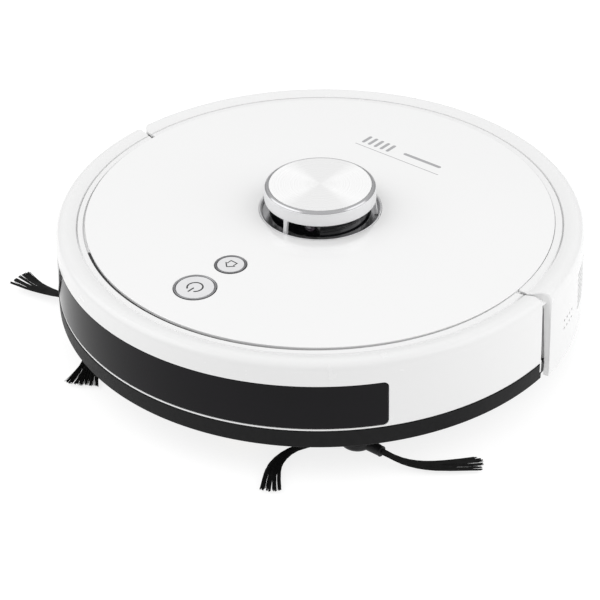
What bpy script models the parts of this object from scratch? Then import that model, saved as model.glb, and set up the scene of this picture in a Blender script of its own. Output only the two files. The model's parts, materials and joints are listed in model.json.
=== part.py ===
"""Robot vacuum cleaner with a laser turret, as an assembly of separate pieces.

The front of the machine is -Y, +X is on the right of someone who faces the bumper, +Z is up, and the floor is z = 0.
All dimensions below are millimetres; meshes are scaled to metres as they are made.
"""

import math

import bmesh
import bpy
from mathutils import Matrix, Vector

# ---------------------------------------------------------------- driving dimensions
BODY_R = 166.9          # widest radius, at the foot of the side wall
UNDERSIDE_Z = 13.0      # ground clearance of the chassis
FLOOR_T = 2.5           # chassis floor thickness
PLATE_R = 145.8         # glossy top plate
PLATE_Z = (76.0, 78.0)
DECK_Z = (73.5, 75.7)
LIP_R = 146.2           # inner edge of the lip around the plate
LIP_Z = 77.3
GROOVE_SHIFT = 1.5      # the bumper's lip is this far ahead, for its travel
BUMPER_END_DEG = 0.5    # the bumper ends this far behind the side line
SHELL_START_DEG = 3.7   # the rear shell's wall starts this far behind the side line
BUMPER_TRAVEL = 1.5
SHELL_TOP_DEG = 1.2     # the inner edge of the shell's rim starts this far behind the side line
SLOT_FOOT_DEG = 1.3     # the chassis rim starts this far behind the side line, across the foot of the side slot
STRIP_Z = (24.0, 35.2)
WINDOW_HALF_DEG = 52.7
WINDOW_Z = (37.0, 65.0)
WINDOW_CORNER = 3.0
SHELL_FOOT_Z = 19.5

LIDAR_XY = (0.0, 1.0)
LIDAR_WELL_R = 38.4
LIDAR_CAP_R = 35.0
LIDAR_CAP_Z = (85.3, 94.3)
LIDAR_TOP_Z = 95.0
LIDAR_POSTS_DEG = (-88.0, 32.0, 152.0)

POWER_XY, POWER_R = (0.0, -113.0), 12.6
HOME_XY, HOME_R = (0.0, -82.3), 9.5
PRESS = 0.6

WHEEL_YZ = (5.0, 34.0)
WHEEL_R = 34.0
WHEEL_X = (105.0, 125.0)
PIVOT_YZ = (-34.0, 24.0)
CASTER_XY = (0.0, -120.0)
CASTER_R = 13.0
CASTER_TRAIL = 4.0
ROLLER_YZ = (30.0, 17.5)
ROLLER_R = 16.5
ROLLER_HALF = 79.0
SIDE_HUB = (106.0, -95.0)
BRUSH_REACH = 76.0
BIN_X = (-78.0, 66.0)
BIN_Y0 = 62.0
BIN_Z = (17.0, 60.0)
BIN_PANEL_DEG = (64.5, 118.5)
BIN_PANEL_Z = (19.6, 63.0)
BIN_PANEL_CORNER = 1.2
FAN_XY, FAN_R = (103.0, 84.0), 21.5
GAP = 0.3

STEPS_BODY = 48

bpy.context.scene.unit_settings.scale_length = 1.0
for old in list(bpy.data.objects):
    bpy.data.objects.remove(old, do_unlink=True)


# ---------------------------------------------------------------- materials
def material(name, rgb, rough, metal=0.0):
    m = bpy.data.materials.new(name)
    m.use_nodes = True
    shader = m.node_tree.nodes["Principled BSDF"]
    shader.inputs["Base Color"].default_value = (*rgb, 1.0)
    shader.inputs["Roughness"].default_value = rough
    shader.inputs["Metallic"].default_value = metal
    m.diffuse_color = (*rgb, 1.0)
    return m


LOOKS = {
    "white": ((0.90, 0.90, 0.90), 0.22, 0.0),
    "plate": ((0.93, 0.93, 0.93), 0.06, 0.0),
    "smoked": ((0.015, 0.015, 0.016), 0.08, 0.0),
    "strip": ((0.035, 0.035, 0.037), 0.45, 0.0),
    "chassis": ((0.03, 0.03, 0.032), 0.55, 0.0),
    "frame": ((0.10, 0.10, 0.105), 0.6, 0.0),
    "aluminium": ((0.78, 0.78, 0.79), 0.28, 1.0),
    "turret": ((0.02, 0.02, 0.022), 0.35, 0.0),
    "lens": ((0.05, 0.02, 0.05), 0.05, 0.0),
    "steel": ((0.62, 0.62, 0.63), 0.3, 1.0),
    "button": ((0.70, 0.70, 0.71), 0.35, 0.0),
    "ring": ((0.45, 0.45, 0.46), 0.3, 1.0),
    "board": ((0.02, 0.16, 0.07), 0.5, 0.0),
    "rubber": ((0.025, 0.025, 0.025), 0.85, 0.0),
    "bristle": ((0.012, 0.012, 0.012), 0.7, 0.0),
    "hub": ((0.16, 0.16, 0.17), 0.5, 0.0),
    "battery": ((0.05, 0.09, 0.25), 0.4, 0.0),
    "bin": ((0.22, 0.22, 0.23), 0.3, 0.0),
    "filter": ((0.85, 0.85, 0.80), 0.9, 0.0),
    "brass": ((0.80, 0.62, 0.30), 0.3, 1.0),
    "blade": ((0.30, 0.07, 0.04), 0.7, 0.0),
}


# ---------------------------------------------------------------- mesh helpers
def polar(r, degrees, z=0.0, at=(0.0, 0.0)):
    a = math.radians(degrees)
    return Vector((at[0] + r * math.cos(a), at[1] + r * math.sin(a), z))


def outward(bm):
    bmesh.ops.recalc_face_normals(bm, faces=bm.faces[:])
    if bm.calc_volume(signed=True) < 0:
        bmesh.ops.reverse_faces(bm, faces=bm.faces[:])
    return bm


def lathe(profile, steps, a0=0.0, a1=360.0, at=(0.0, 0.0), move=None):
    """A closed (r, z) outline turned about Z, all the way round or from a0 to a1 with flat ends.
    Where the outline runs in to the axis, it ends in one flat face."""
    full = a1 - a0 > 359.999
    columns = steps if full else steps + 1
    bm = bmesh.new()
    cols = []
    for i in range(columns):
        a = a0 + (a1 - a0) * i / steps
        col = []
        for r, z in profile:
            p = polar(r, a, z, at)
            col.append(None if r == 0.0 else bm.verts.new(move(p, r) if move else p))
        cols.append(col)
    n = len(profile)
    for j in range(n):
        k = (j + 1) % n
        if profile[j][0] == 0.0 and profile[k][0] == 0.0:
            continue
        if profile[j][0] == 0.0 or profile[k][0] == 0.0:
            rim = j if profile[j][0] else k
            bm.faces.new([c[rim] for c in cols])
            continue
        for i in range(steps):
            c, d = cols[i], cols[(i + 1) % columns]
            bm.faces.new((c[j], d[j], d[k], c[k]))
    if not full:
        bm.faces.new(cols[0])
        bm.faces.new(cols[-1][::-1])
    return outward(bm)


def loft(rings):
    """Rings of the same number of points, joined in order and capped at both ends."""
    bm = bmesh.new()
    loops = [[bm.verts.new(p) for p in ring] for ring in rings]
    n = len(loops[0])
    for a, b in zip(loops, loops[1:]):
        for j in range(n):
            k = (j + 1) % n
            bm.faces.new((a[j], b[j], b[k], a[k]))
    bm.faces.new(loops[0])
    bm.faces.new(loops[-1][::-1])
    return outward(bm)


def prism(outline, z0, z1):
    return loft([[Vector((x, y, z)) for x, y in outline] for z in (z0, z1)])


def block(x0, x1, y0, y1, z0, z1):
    bm = bmesh.new()
    bmesh.ops.create_cube(bm, size=1.0)
    bmesh.ops.scale(bm, vec=(x1 - x0, y1 - y0, z1 - z0), verts=bm.verts[:])
    bmesh.ops.translate(bm, vec=((x0 + x1) / 2, (y0 + y1) / 2, (z0 + z1) / 2), verts=bm.verts[:])
    return bm


def disc(r, z0, z1, n=24, at=(0.0, 0.0), r_top=None):
    """A cylinder or cone frustum standing on z0."""
    bm = bmesh.new()
    bmesh.ops.create_cone(bm, cap_ends=True, segments=n, radius1=r, radius2=r if r_top is None else r_top, depth=z1 - z0)
    bmesh.ops.translate(bm, vec=(at[0], at[1], (z0 + z1) / 2), verts=bm.verts[:])
    return bm


def tube_ring(r_in, r_out, z0, z1, n=32, at=(0.0, 0.0)):
    return lathe([(r_in, z0), (r_out, z0), (r_out, z1), (r_in, z1)], n, at=at)


def along_x(bm, y, z):
    """Turns a shape made about +Z so that its axis is +X, and carries it to that line."""
    bm.transform(Matrix.Translation((0.0, y, z)) @ Matrix.Rotation(math.radians(90.0), 4, "Y"))
    return bm


def rod_x(r, x0, x1, y, z, n=16):
    return along_x(disc(r, x0, x1, n), y, z)


def shell_r(z):
    """Outer radius of the side wall at height z."""
    marks = ((19.5, 166.9), (24.0, 166.9), (32.0, 166.5), (50.0, 165.5), (61.0, 164.8), (71.5, 164.2), (78.0, 163.6))
    z = min(max(z, marks[0][0]), marks[-1][0])
    for (z0, r0), (z1, r1) in zip(marks, marks[1:]):
        if z <= z1:
            return r0 + (r1 - r0) * (z - z0) / (z1 - z0)
    return marks[-1][1]


def bent_panel(a0, a1, z0, z1, corner, inset, proud, steps):
    """A panel that follows the side wall, from inset inside it to proud outside it, with rounded corners."""
    r_mid = shell_r((z0 + z1) / 2)
    ends = math.degrees(corner / r_mid)
    arc = [90.0 * i / 4 for i in range(5)]
    columns = [(a0 + ends * (1 - math.cos(math.radians(t))), corner * (1 - math.sin(math.radians(t)))) for t in arc] if corner else [(a0, 0.0)]
    inner = steps - 1
    columns += [(a0 + ends + (a1 - a0 - 2 * ends) * i / (inner + 1), 0.0) for i in range(1, inner + 1)]
    columns += [(a1 - (c[0] - a0), c[1]) for c in reversed(columns[: 5 if corner else 1])]
    rings = []
    for a, short in columns:
        low, high = z0 + short, z1 - short
        zs = (low, (low + high) / 2, high)
        ring = [polar(shell_r(z) - inset, a, z) for z in zs]
        ring += [polar(shell_r(z) + proud, a, z) for z in reversed(zs)]
        rings.append(ring)
    return loft(rings)


made = {}


def into_object(name, bm, origin=(0.0, 0.0, 0.0)):
    bmesh.ops.translate(bm, vec=[-v for v in origin], verts=bm.verts[:])
    bmesh.ops.scale(bm, vec=(0.001, 0.001, 0.001), verts=bm.verts[:])
    mesh = bpy.data.meshes.new(name)
    bm.to_mesh(mesh)
    bm.free()
    obj = bpy.data.objects.new(name, mesh)
    obj.location = [v * 0.001 for v in origin]
    bpy.context.scene.collection.objects.link(obj)
    return obj


def piece(name, bm, look, origin=(0.0, 0.0, 0.0), sharp=30.0):
    """A named sub-part in its own material, with its origin on its joint's axis."""
    obj = into_object(name, bm, origin)
    rgb, rough, metal = LOOKS[look]
    obj.data.materials.append(material(name, rgb, rough, metal))
    obj.data.shade_smooth()
    obj.data.set_sharp_from_angle(angle=math.radians(sharp))
    made[name] = obj
    return obj


def tool(bm, tag):
    obj = into_object(tag, bm)
    obj.hide_render = True
    obj.display_type = "WIRE"
    return obj


def change(obj, operation, *shapes):
    for bm in shapes:
        helper = tool(bm, "tool_" + obj.name)
        modifier = obj.modifiers.new(operation.lower(), "BOOLEAN")
        modifier.operation = operation
        modifier.solver = "EXACT"
        modifier.object = helper
    return obj


def cut(obj, *shapes):
    return change(obj, "DIFFERENCE", *shapes)


def add(obj, *shapes):
    return change(obj, "UNION", *shapes)


def mirrored(bm, side):
    """The shape as made for +X, or its mirror image for -X."""
    if side < 0:
        bmesh.ops.scale(bm, vec=(-1.0, 1.0, 1.0), verts=bm.verts[:])
        bmesh.ops.reverse_faces(bm, faces=bm.faces[:])
    return bm


SIDES = (("R", 1.0), ("L", -1.0))

# ---------------------------------------------------------------- chassis
floor_profile = [
    (0.0, UNDERSIDE_Z), (147.0, UNDERSIDE_Z), (153.0, 15.0), (157.6, 20.0), (158.2, 34.0),
    (155.7, 34.0), (155.0, 21.4), (146.0, UNDERSIDE_Z + FLOOR_T), (0.0, UNDERSIDE_Z + FLOOR_T),
]
chassis = piece("base_chassis", lathe(floor_profile, STEPS_BODY), "chassis")
rear_rim = [
    (144.0, 13.5), (155.0, 14.6), (161.4, 18.6), (163.6, 23.0), (163.6, 30.0), (156.8, 30.0), (156.4, 22.0), (144.0, 15.0),
]
add(chassis, lathe(rear_rim, 22, SLOT_FOOT_DEG, 180.0 - SLOT_FOOT_DEG))


def arch_outline(half, y_mid, z_mid, foot, n=8):
    """A tunnel section in (y, z): straight sides up from the foot and a half round top."""
    pts = [(y_mid + half, foot)]
    pts += [(y_mid + half * math.cos(math.pi * i / n), z_mid + half * math.sin(math.pi * i / n)) for i in range(n + 1)]
    pts.append((y_mid - half, foot))
    return pts


def arch(half, y_mid, z_mid, foot, x0, x1):
    section = arch_outline(half, y_mid, z_mid, foot)
    return loft([[Vector((x, y, z)) for y, z in section] for x in (x0, x1)])


wheel_y, wheel_z = WHEEL_YZ
pivot_y, pivot_z = PIVOT_YZ
for tag, side in SIDES:
    # A moulded arch over each wheel, and an ear for the suspension pivot on each side of the arm.
    add(chassis, mirrored(arch(38.4, wheel_y, wheel_z - 0.6, 14.2, 103.6, 128.4), side))
    add(chassis, mirrored(block(86.0, 89.6, pivot_y - 4.5, pivot_y + 4.5, 14.2, 29.5), side))
    add(chassis, mirrored(disc(8.2, 14.2, 19.3, 14, SIDE_HUB), side))
for tag, side in SIDES:
    cut(chassis, mirrored(arch(36.8, wheel_y, wheel_z - 0.6, 10.0, 100.0, 126.8), side))
    cut(chassis, mirrored(block(90.4, 104.4, pivot_y - 7.0, 46.0, 10.0, 16.0), side))
    cut(chassis, mirrored(rod_x(2.8, 84.0, 92.0, pivot_y, pivot_z, 12), side))
    cut(chassis, mirrored(disc(5.0, 10.0, 22.0, 14, SIDE_HUB), side))
# The caster's cup with the hole for its stem.
add(chassis, disc(21.5, 13.6, 34.0, 24, CASTER_XY))
cut(chassis, disc(19.6, 10.0, 31.6, 24, CASTER_XY), disc(4.6, 30.0, 36.0, 14, CASTER_XY))
# The way in for the dust bin over the floor, and the gap for the fan's outlet.
cut(chassis, block(BIN_X[0] - 1.2, BIN_X[1] + 1.2, 110.0, 172.0, 16.2, 40.0), block(98.0, 172.0, 80.0, 112.0, 18.5, 40.0))
# The openings for the main brush and for the battery.
cut(chassis, block(-88.6, 88.6, 4.6, 55.4, 10.0, 18.0), block(-75.0, 75.0, -97.0, -27.0, 10.0, 18.0))
# Pockets for the charging contacts and the cliff sensors.
for side in (1.0, -1.0):
    cut(chassis, mirrored(block(34.7, 57.3, -133.3, -124.7, 10.0, 14.2), side))
    cut(chassis, mirrored(block(133.7, 142.3, -44.3, -25.7, 10.0, 14.2), side))

# ---------------------------------------------------------------- inner frame
frame = piece(
    "mid_frame",
    lathe([(155.9, 34.4), (158.2, 34.4), (158.2, 71.0), (157.0, 73.1), (141.0, 73.1), (141.0, 71.6), (155.9, 71.6)], STEPS_BODY),
    "frame",
)
cut(
    frame,
    block(BIN_X[0] - 1.2, BIN_X[1] + 1.2, 120.0, 170.0, 30.0, 64.4),
    block(96.0, 170.0, 72.0, 128.0, 30.0, 66.0),
)

# ---------------------------------------------------------------- white rear shell and deck
rim = [(150.2, 77.0), (151.0, 76.6), (154.0, 78.1), (157.4, 78.9), (160.2, 78.8), (162.4, 77.4), (163.7, 74.9), (164.2, 71.5)]
shell_profile = [
    (LIP_R + 0.2, LIP_Z), *rim,
    (shell_r(50.0), 50.0), (shell_r(32.0), 32.0), (BODY_R, 24.0), (BODY_R, SHELL_FOOT_Z),
    (164.5, SHELL_FOOT_Z), (164.3, 32.0), (162.0, 68.0), (159.6, 73.9),
    (138.0, 73.9), (138.0, 75.3), (LIP_R + 0.2, 75.3),
]


def slanted(p, r):
    """Carries the shell's ends back as the radius grows, so that the slot beside the bumper widens outwards."""
    a = math.degrees(math.atan2(p.y, p.x))
    near = min(a - SHELL_TOP_DEG, 180.0 - SHELL_TOP_DEG - a)
    if near > 5.0:
        return p
    back = (SHELL_START_DEG - SHELL_TOP_DEG) * min(max((r - 150.0) / 14.0, 0.0), 1.0) * (1.0 - near / 5.0)
    return polar(r, a + back if a < 90.0 else a - back, p.z)


cover = piece("top_cover", lathe(shell_profile, 24, SHELL_TOP_DEG, 180.0 - SHELL_TOP_DEG, move=slanted), "white")
# The deck reaches out under the bumper's lip as a low white ledge.
add(cover, lathe([(141.5, 73.3), (157.0, 73.3), (157.0, 74.2), (141.5, 74.2)], STEPS_BODY))
add(cover, disc(145.2, DECK_Z[0], DECK_Z[1], STEPS_BODY))
# A wall closes each end of the shell where it faces the bumper.
end_wall = [(158.7, 31.0), (165.2, 31.0), (163.4, 72.0), (161.6, 75.2), (158.7, 75.2)]
for a0 in (SHELL_START_DEG + 0.15, 180.0 - SHELL_START_DEG - 1.15):
    add(cover, lathe(end_wall, 1, a0, a0 + 1.0))
for x in (-14.0, 14.0):
    for y in (-122.0, -74.0):
        add(cover, disc(2.2, 67.0, 74.6, 8, (x, y)))
cut(
    cover,
    disc(LIDAR_WELL_R + 0.1, 70.0, 80.0, 36, LIDAR_XY),
    disc(4.8, 70.0, 80.0, 10, POWER_XY),
    disc(4.8, 70.0, 80.0, 10, HOME_XY),
    bent_panel(BIN_PANEL_DEG[0] - 0.15, BIN_PANEL_DEG[1] + 0.15, 14.0, BIN_PANEL_Z[1] + GAP, BIN_PANEL_CORNER + GAP, 8.0, 4.0, 12),
    block(BIN_X[0] - 0.6, BIN_X[1] + 0.6, 120.0, 175.0, 14.0, 62.7),
)
# Exhaust grille: seven rows of five slots, and a small group of sounder holes nearer the side.
for row in range(7):
    z = 39.5 + 3.85 * row
    for column in range(5):
        a = 19.8 + 6.6 * column
        cut(cover, lathe([(158.0, z - 0.95), (170.0, z - 0.95), (170.0, z + 0.95), (158.0, z + 0.95)], 1, a, a + 5.6))
for z in (42.5, 48.0):
    for column in range(4):
        a = 10.3 + 1.5 * column
        cut(cover, lathe([(158.0, z - 0.7), (170.0, z - 0.7), (170.0, z + 0.7), (158.0, z + 0.7)], 1, a, a + 0.5))

# ---------------------------------------------------------------- glossy top plate
plate = piece(
    "top_plate",
    lathe([(0.0, PLATE_Z[0]), (PLATE_R, PLATE_Z[0]), (PLATE_R, PLATE_Z[1] - 0.5), (PLATE_R - 0.5, PLATE_Z[1]), (0.0, PLATE_Z[1])], STEPS_BODY),
    "plate",
)
cut(
    plate,
    disc(LIDAR_WELL_R + 0.1, 70.0, 80.0, 36, LIDAR_XY),
    disc(POWER_R + GAP, 70.0, 80.0, 24, POWER_XY),
    disc(HOME_R + GAP, 70.0, 80.0, 20, HOME_XY),
)


# ---------------------------------------------------------------- bumper
def lip_ahead(p, r):
    """Moves only the lip's inner edge ahead, so that the groove is widest at the front."""
    return Vector((p.x, p.y - GROOVE_SHIFT, p.z)) if r < LIP_R + 0.1 else p


bumper_profile = [
    (LIP_R, LIP_Z), *rim,
    (shell_r(50.0), 50.0), (shell_r(35.5), 35.5),
    (163.4, 35.5), (161.2, 69.0), (159.0, 74.6), (LIP_R, 74.6),
]
bumper = piece(
    "bumper", lathe(bumper_profile, 26, 180.0 - BUMPER_END_DEG, 360.0 + BUMPER_END_DEG, move=lip_ahead), "white"
)
w0, w1 = 270.0 - WINDOW_HALF_DEG, 270.0 + WINDOW_HALF_DEG
cut(bumper, bent_panel(w0 - 0.11, w1 + 0.11, WINDOW_Z[0] - GAP, WINDOW_Z[1] + GAP, WINDOW_CORNER + GAP, 1.6, 4.0, 14))
piece("bumper_window", bent_panel(w0, w1, WINDOW_Z[0], WINDOW_Z[1], WINDOW_CORNER, 1.3, 0.0, 14), "smoked")
strip = piece(
    "bumper_strip",
    lathe([(163.2, STRIP_Z[0] + 0.6), (163.8, STRIP_Z[0]), (166.3, STRIP_Z[0]), (BODY_R, STRIP_Z[0] + 0.6), (shell_r(35.2) + 0.3, STRIP_Z[1]), (163.2, STRIP_Z[1])], 26, 180.0 - BUMPER_END_DEG, 360.0 + BUMPER_END_DEG),
    "strip",
)

# ---------------------------------------------------------------- laser turret
lx, ly = LIDAR_XY
base = piece(
    "lidar_base",
    lathe([(7.4, 58.0), (33.0, 58.0), (33.0, 74.4), (38.1, 74.4), (38.1, 77.5), (37.2, 77.5), (36.8, 75.9), (31.5, 75.9), (31.5, 60.0), (7.4, 60.0)], 28, at=LIDAR_XY),
    "turret",
)
cap = piece(
    "lidar_cap",
    lathe([(0.0, 91.6), (31.4, 91.6), (32.9, 90.2), (32.9, LIDAR_CAP_Z[0]), (LIDAR_CAP_R, LIDAR_CAP_Z[0]), (34.8, 92.4), (34.2, LIDAR_CAP_Z[1]), (33.0, LIDAR_CAP_Z[1] + 0.5), (33.0, 93.2), (0.0, 93.2)], 28, at=LIDAR_XY),
    "aluminium",
)
for degrees in LIDAR_POSTS_DEG:
    post = loft([[Vector((x, y, z)) for x, y in ((r, -1.4), (r + 1.9, -1.4), (r + 1.9, 1.4), (r, 1.4))] for r, z in ((34.2, 76.2), (32.8, 87.0))])
    post.transform(Matrix.Translation((lx, ly, 0.0)) @ Matrix.Rotation(math.radians(degrees), 4, "Z"))
    add(cap, post)
piece(
    "lidar_top_disc",
    lathe([(0.0, 93.5), (32.7, 93.5), (32.7, 94.6), (32.2, LIDAR_TOP_Z), (0.0, LIDAR_TOP_Z)], 28, at=LIDAR_XY),
    "aluminium",
)
rotor = piece(
    "lidar_rotor",
    lathe([(0.0, 51.8), (20.0, 51.8), (18.8, 54.0), (20.0, 56.2), (7.0, 56.2), (7.0, 61.6), (30.6, 61.6), (30.6, 87.4), (29.4, 88.6), (0.0, 88.6)], 22, at=LIDAR_XY),
    "turret",
    (lx, ly, 51.0),
)
cut(rotor, block(-20.0, 20.0, ly - 34.0, ly - 23.5, 70.0, 86.6))
for name, x, r in (("lidar_lens_emitter", 12.0, 4.2), ("lidar_lens_receiver", -9.0, 4.9)):
    lens = disc(r, 0.0, 2.8, 18, r_top=r * 0.86)
    lens.transform(Matrix.Translation((x, ly - 23.8, 81.4)) @ Matrix.Rotation(math.radians(90.0), 4, "X"))
    piece(name, lens, "lens", (lx, ly, 51.0))
motor_xy = (56.0, 1.0)
piece("lidar_motor", disc(9.8, 57.4, 71.8, 20, motor_xy), "steel")
add(made["lidar_motor"], disc(1.2, 51.4, 58.0, 10, motor_xy))
pulley = piece(
    "lidar_pulley",
    lathe([(1.5, 51.8), (4.8, 51.8), (4.2, 54.0), (4.8, 56.2), (1.5, 56.2)], 12, at=motor_xy),
    "hub",
    (*motor_xy, 54.0),
)


def belt_loop(big, small, n=12):
    """The outline of a belt round two pulleys on the X axis line, big one first."""
    (xa, ra), (xb, rb) = big, small
    lean = math.asin((ra - rb) / (xb - xa))
    pts = [(xa + ra * math.cos(t), ly + ra * math.sin(t)) for t in (math.pi / 2 - lean + (math.pi + 2 * lean) * i / n for i in range(n + 1))]
    pts += [(xb + rb * math.cos(t), ly + rb * math.sin(t)) for t in (-math.pi / 2 + lean + (math.pi - 2 * lean) * i / 6 for i in range(7))]
    return pts


belt_rings = []
for z, grow in ((53.4, 0.0), (54.6, 0.0), (54.6, 1.2), (53.4, 1.2)):
    belt_rings.append([Vector((x, y, z)) for x, y in belt_loop((lx, 20.4 + grow), (motor_xy[0], 5.4 + grow))])
belt = bmesh.new()
loops = [[belt.verts.new(p) for p in ring] for ring in belt_rings]
for a, b in zip(loops, loops[1:] + loops[:1]):
    for j in range(len(a)):
        k = (j + 1) % len(a)
        belt.faces.new((a[j], a[k], b[k], b[j]))
piece("lidar_belt", outward(belt), "rubber")

# ---------------------------------------------------------------- buttons
for name, (x, y), r in (("power", POWER_XY, POWER_R), ("home", HOME_XY, HOME_R)):
    piece(
        name + "_ring",
        lathe([(r - 1.1, 76.0), (r, 76.0), (r, 78.1), (r - 0.4, 78.4), (r - 1.1, 78.2)], 20, at=(x, y)),
        "ring",
    )
    head = r - 1.1 - 0.25
    piece(
        name + "_button",
        lathe([(0.0, 68.8), (4.2, 68.8), (4.2, 76.4), (head, 76.4), (head, 77.9), (head - 0.5, 78.2), (0.0, 78.2)], 18, at=(x, y)),
        "button",
        (x, y, 78.2),
    )
board = piece("button_board", block(-17.0, 17.0, -126.0, -70.0, 65.2, 66.7), "board")
for x, y in (POWER_XY, HOME_XY):
    add(board, block(x - 3.0, x + 3.0, y - 3.0, y + 3.0, 66.2, 68.1))

# ---------------------------------------------------------------- drive modules
for tag, side in SIDES:
    def m(bm):
        return mirrored(bm, side)

    outline = []
    for cy, cz, r, t0, t1 in ((pivot_y, pivot_z, 5.6, 150.0, 270.0), (wheel_y + 8.0, 24.4, 8.0, -90.0, 0.0), (wheel_y + 3.0, 45.0, 13.0, 0.0, 90.0), (-10.0, 44.0, 14.0, 90.0, 150.0)):
        outline += [(cy + r * math.cos(math.radians(t0 + (t1 - t0) * i / 4)), cz + r * math.sin(math.radians(t0 + (t1 - t0) * i / 4))) for i in range(5)]
    pivot = (side * 97.0, pivot_y, pivot_z)
    arm = piece("drive_arm_" + tag, m(loft([[Vector((x, y, z)) for y, z in outline] for x in (92.2, 102.6)])), "frame", pivot)
    add(arm, m(rod_x(2.4, 86.4, 94.0, pivot_y, pivot_z, 12)), m(rod_x(3.0, 100.0, 113.0, wheel_y, wheel_z, 14)))
    piece("drive_motor_" + tag, m(rod_x(11.0, 67.0, 91.9, -10.0, 40.0, 18)), "steel", pivot)
    axle = (side * 115.0, wheel_y, wheel_z)
    hub = [(3.3, 104.0), (9.0, 104.0), (10.0, 109.0), (24.0, 109.0), (25.0, 106.0), (27.7, 106.0), (27.7, 124.0), (25.4, 124.0), (24.0, 118.0), (10.5, 117.0), (9.0, 122.0), (0.0, 122.0), (0.0, 113.6), (3.3, 113.6)]
    piece("wheel_hub_" + tag, m(along_x(lathe(hub, 18), wheel_y, wheel_z)), "hub", axle)
    tyre = [(28.0, 105.2), (32.6, 105.2), (WHEEL_R, 107.2), (WHEEL_R, 122.8), (32.6, 124.8), (28.0, 124.8)]
    piece("tyre_" + tag, m(along_x(lathe(tyre, 24), wheel_y, wheel_z)), "rubber", axle)

# ---------------------------------------------------------------- caster
cx, cy = CASTER_XY
wheel_at = (cx, cy + CASTER_TRAIL, CASTER_R)
fork = piece(
    "caster_fork",
    lathe([(0.0, 9.0), (15.0, 9.0), (19.0, 12.0), (19.0, 30.6), (4.2, 30.6), (4.2, 40.0), (0.0, 40.0)], 22, at=CASTER_XY),
    "hub",
    (cx, cy, 30.0),
)
cut(fork, rod_x(CASTER_R + 1.2, -7.2, 7.2, wheel_at[1], wheel_at[2], 20), rod_x(1.9, -9.4, 9.4, wheel_at[1], wheel_at[2], 12))
add_slot = block(-7.2, 7.2, wheel_at[1] - 14.2, wheel_at[1] + 14.2, 0.0, 13.0)
cut(fork, add_slot)
wheel = piece(
    "caster_wheel",
    along_x(lathe([(0.0, -6.7), (9.0, -6.7), (9.6, -6.0), (11.6, -6.4), (CASTER_R, -5.0), (CASTER_R, 5.0), (11.6, 6.4), (9.6, 6.0), (9.0, 6.7), (0.0, 6.7)], 20), wheel_at[1], wheel_at[2]),
    "rubber",
    wheel_at,
)
add(wheel, rod_x(1.6, -9.1, 9.1, wheel_at[1], wheel_at[2], 12))

# ---------------------------------------------------------------- main brush, its tunnel, guard and drive
ry, rz = ROLLER_YZ
sections = []
LOBES = 5
for i in range(11):
    x = -ROLLER_HALF + 2.0 * ROLLER_HALF * i / 10.0
    vee = 150.0 * (abs(i - 5) / 5.0)
    ring = []
    for k in range(LOBES * 4):
        r = (8.2, ROLLER_R, ROLLER_R, 8.2)[k % 4]
        a = math.radians(vee + 360.0 / LOBES * (k // 4) + (0.0, 14.0, 22.0, 36.0)[k % 4])
        ring.append(Vector((x, ry + r * math.cos(a), rz + r * math.sin(a))))
    sections.append(ring)
roller = piece("main_brush", loft(sections), "blade", (0.0, ry, rz), sharp=40.0)
add(roller, rod_x(4.0, -ROLLER_HALF - 3.4, ROLLER_HALF + 3.4, ry, rz, 12))

tunnel = piece("brush_housing", arch(20.2, ry, 20.6, 16.0, -84.2, 84.2), "frame")
cut(tunnel, arch(18.4, ry, 20.6, 10.0, -81.6, 81.6), block(-42.0, 42.0, 40.0, 56.0, 24.0, 38.0))
for side in (1.0, -1.0):
    cut(tunnel, mirrored(rod_x(4.6, 80.0, 83.2, ry, rz, 14), side))
    cut(tunnel, mirrored(block(80.0, 83.2, ry - 4.6, ry + 4.6, 10.0, rz), side))
guard = piece("brush_guard", block(-88.2, 88.2, 5.0, 55.0, 12.6, 15.6), "frame")
cut(guard, block(-84.2, 84.2, 12.4, 47.6, 10.0, 18.0))
for x in (-60.0, 60.0):
    add(guard, block(x - 9.0, x + 9.0, 1.8, 8.0, 15.9, 17.4), block(x - 9.0, x + 9.0, 5.6, 8.0, 14.0, 17.4))
piece("brush_gearbox", block(-91.2, -84.6, 10.0, 44.0, 18.0, 64.0), "frame")
piece("brush_motor", rod_x(11.6, -84.2, -42.0, 26.0, 54.0, 18), "steel")

# ---------------------------------------------------------------- side brushes
hx, hy = SIDE_HUB


def lerp(points, t):
    """A smooth curve through the points (Catmull-Rom), t from 0 to 1."""
    n = len(points) - 1
    i = min(int(t * n), n - 1)
    f = t * n - i
    p = [Vector(points[min(max(k, 0), n)]) for k in (i - 1, i, i + 1, i + 2)]
    return 0.5 * (2 * p[1] + (p[2] - p[0]) * f + (2 * p[0] - 5 * p[1] + 4 * p[2] - p[3]) * f * f + (3 * p[1] - p[0] - 3 * p[2] + p[3]) * f ** 3)


def tuft(path, wide):
    """A flattened bundle of bristles: narrow at its sleeve, fanned out at its tip."""
    rings = []
    for i in range(8):
        t = i / 7.0
        here, ahead = lerp(path, t), lerp(path, min(t + 0.02, 1.0)) - lerp(path, max(t - 0.02, 0.0))
        across = Vector((-ahead.y, ahead.x, 0.0)).normalized()
        w = 2.2 + (wide / 2 - 2.2) * t ** 1.6
        h = 1.9 - 1.1 * t
        rings.append([here + across * w + Vector((0, 0, h)), here - across * w + Vector((0, 0, h)), here - across * w - Vector((0, 0, h)), here + across * w - Vector((0, 0, h))])
    return loft(rings)


def turned(points, centre, degrees):
    spin = Matrix.Rotation(math.radians(degrees), 2)
    out = []
    for x, y, z in points:
        v = spin @ Vector((x - centre[0], y - centre[1]))
        out.append((centre[0] + v.x, centre[1] + v.y, z))
    return out


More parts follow.
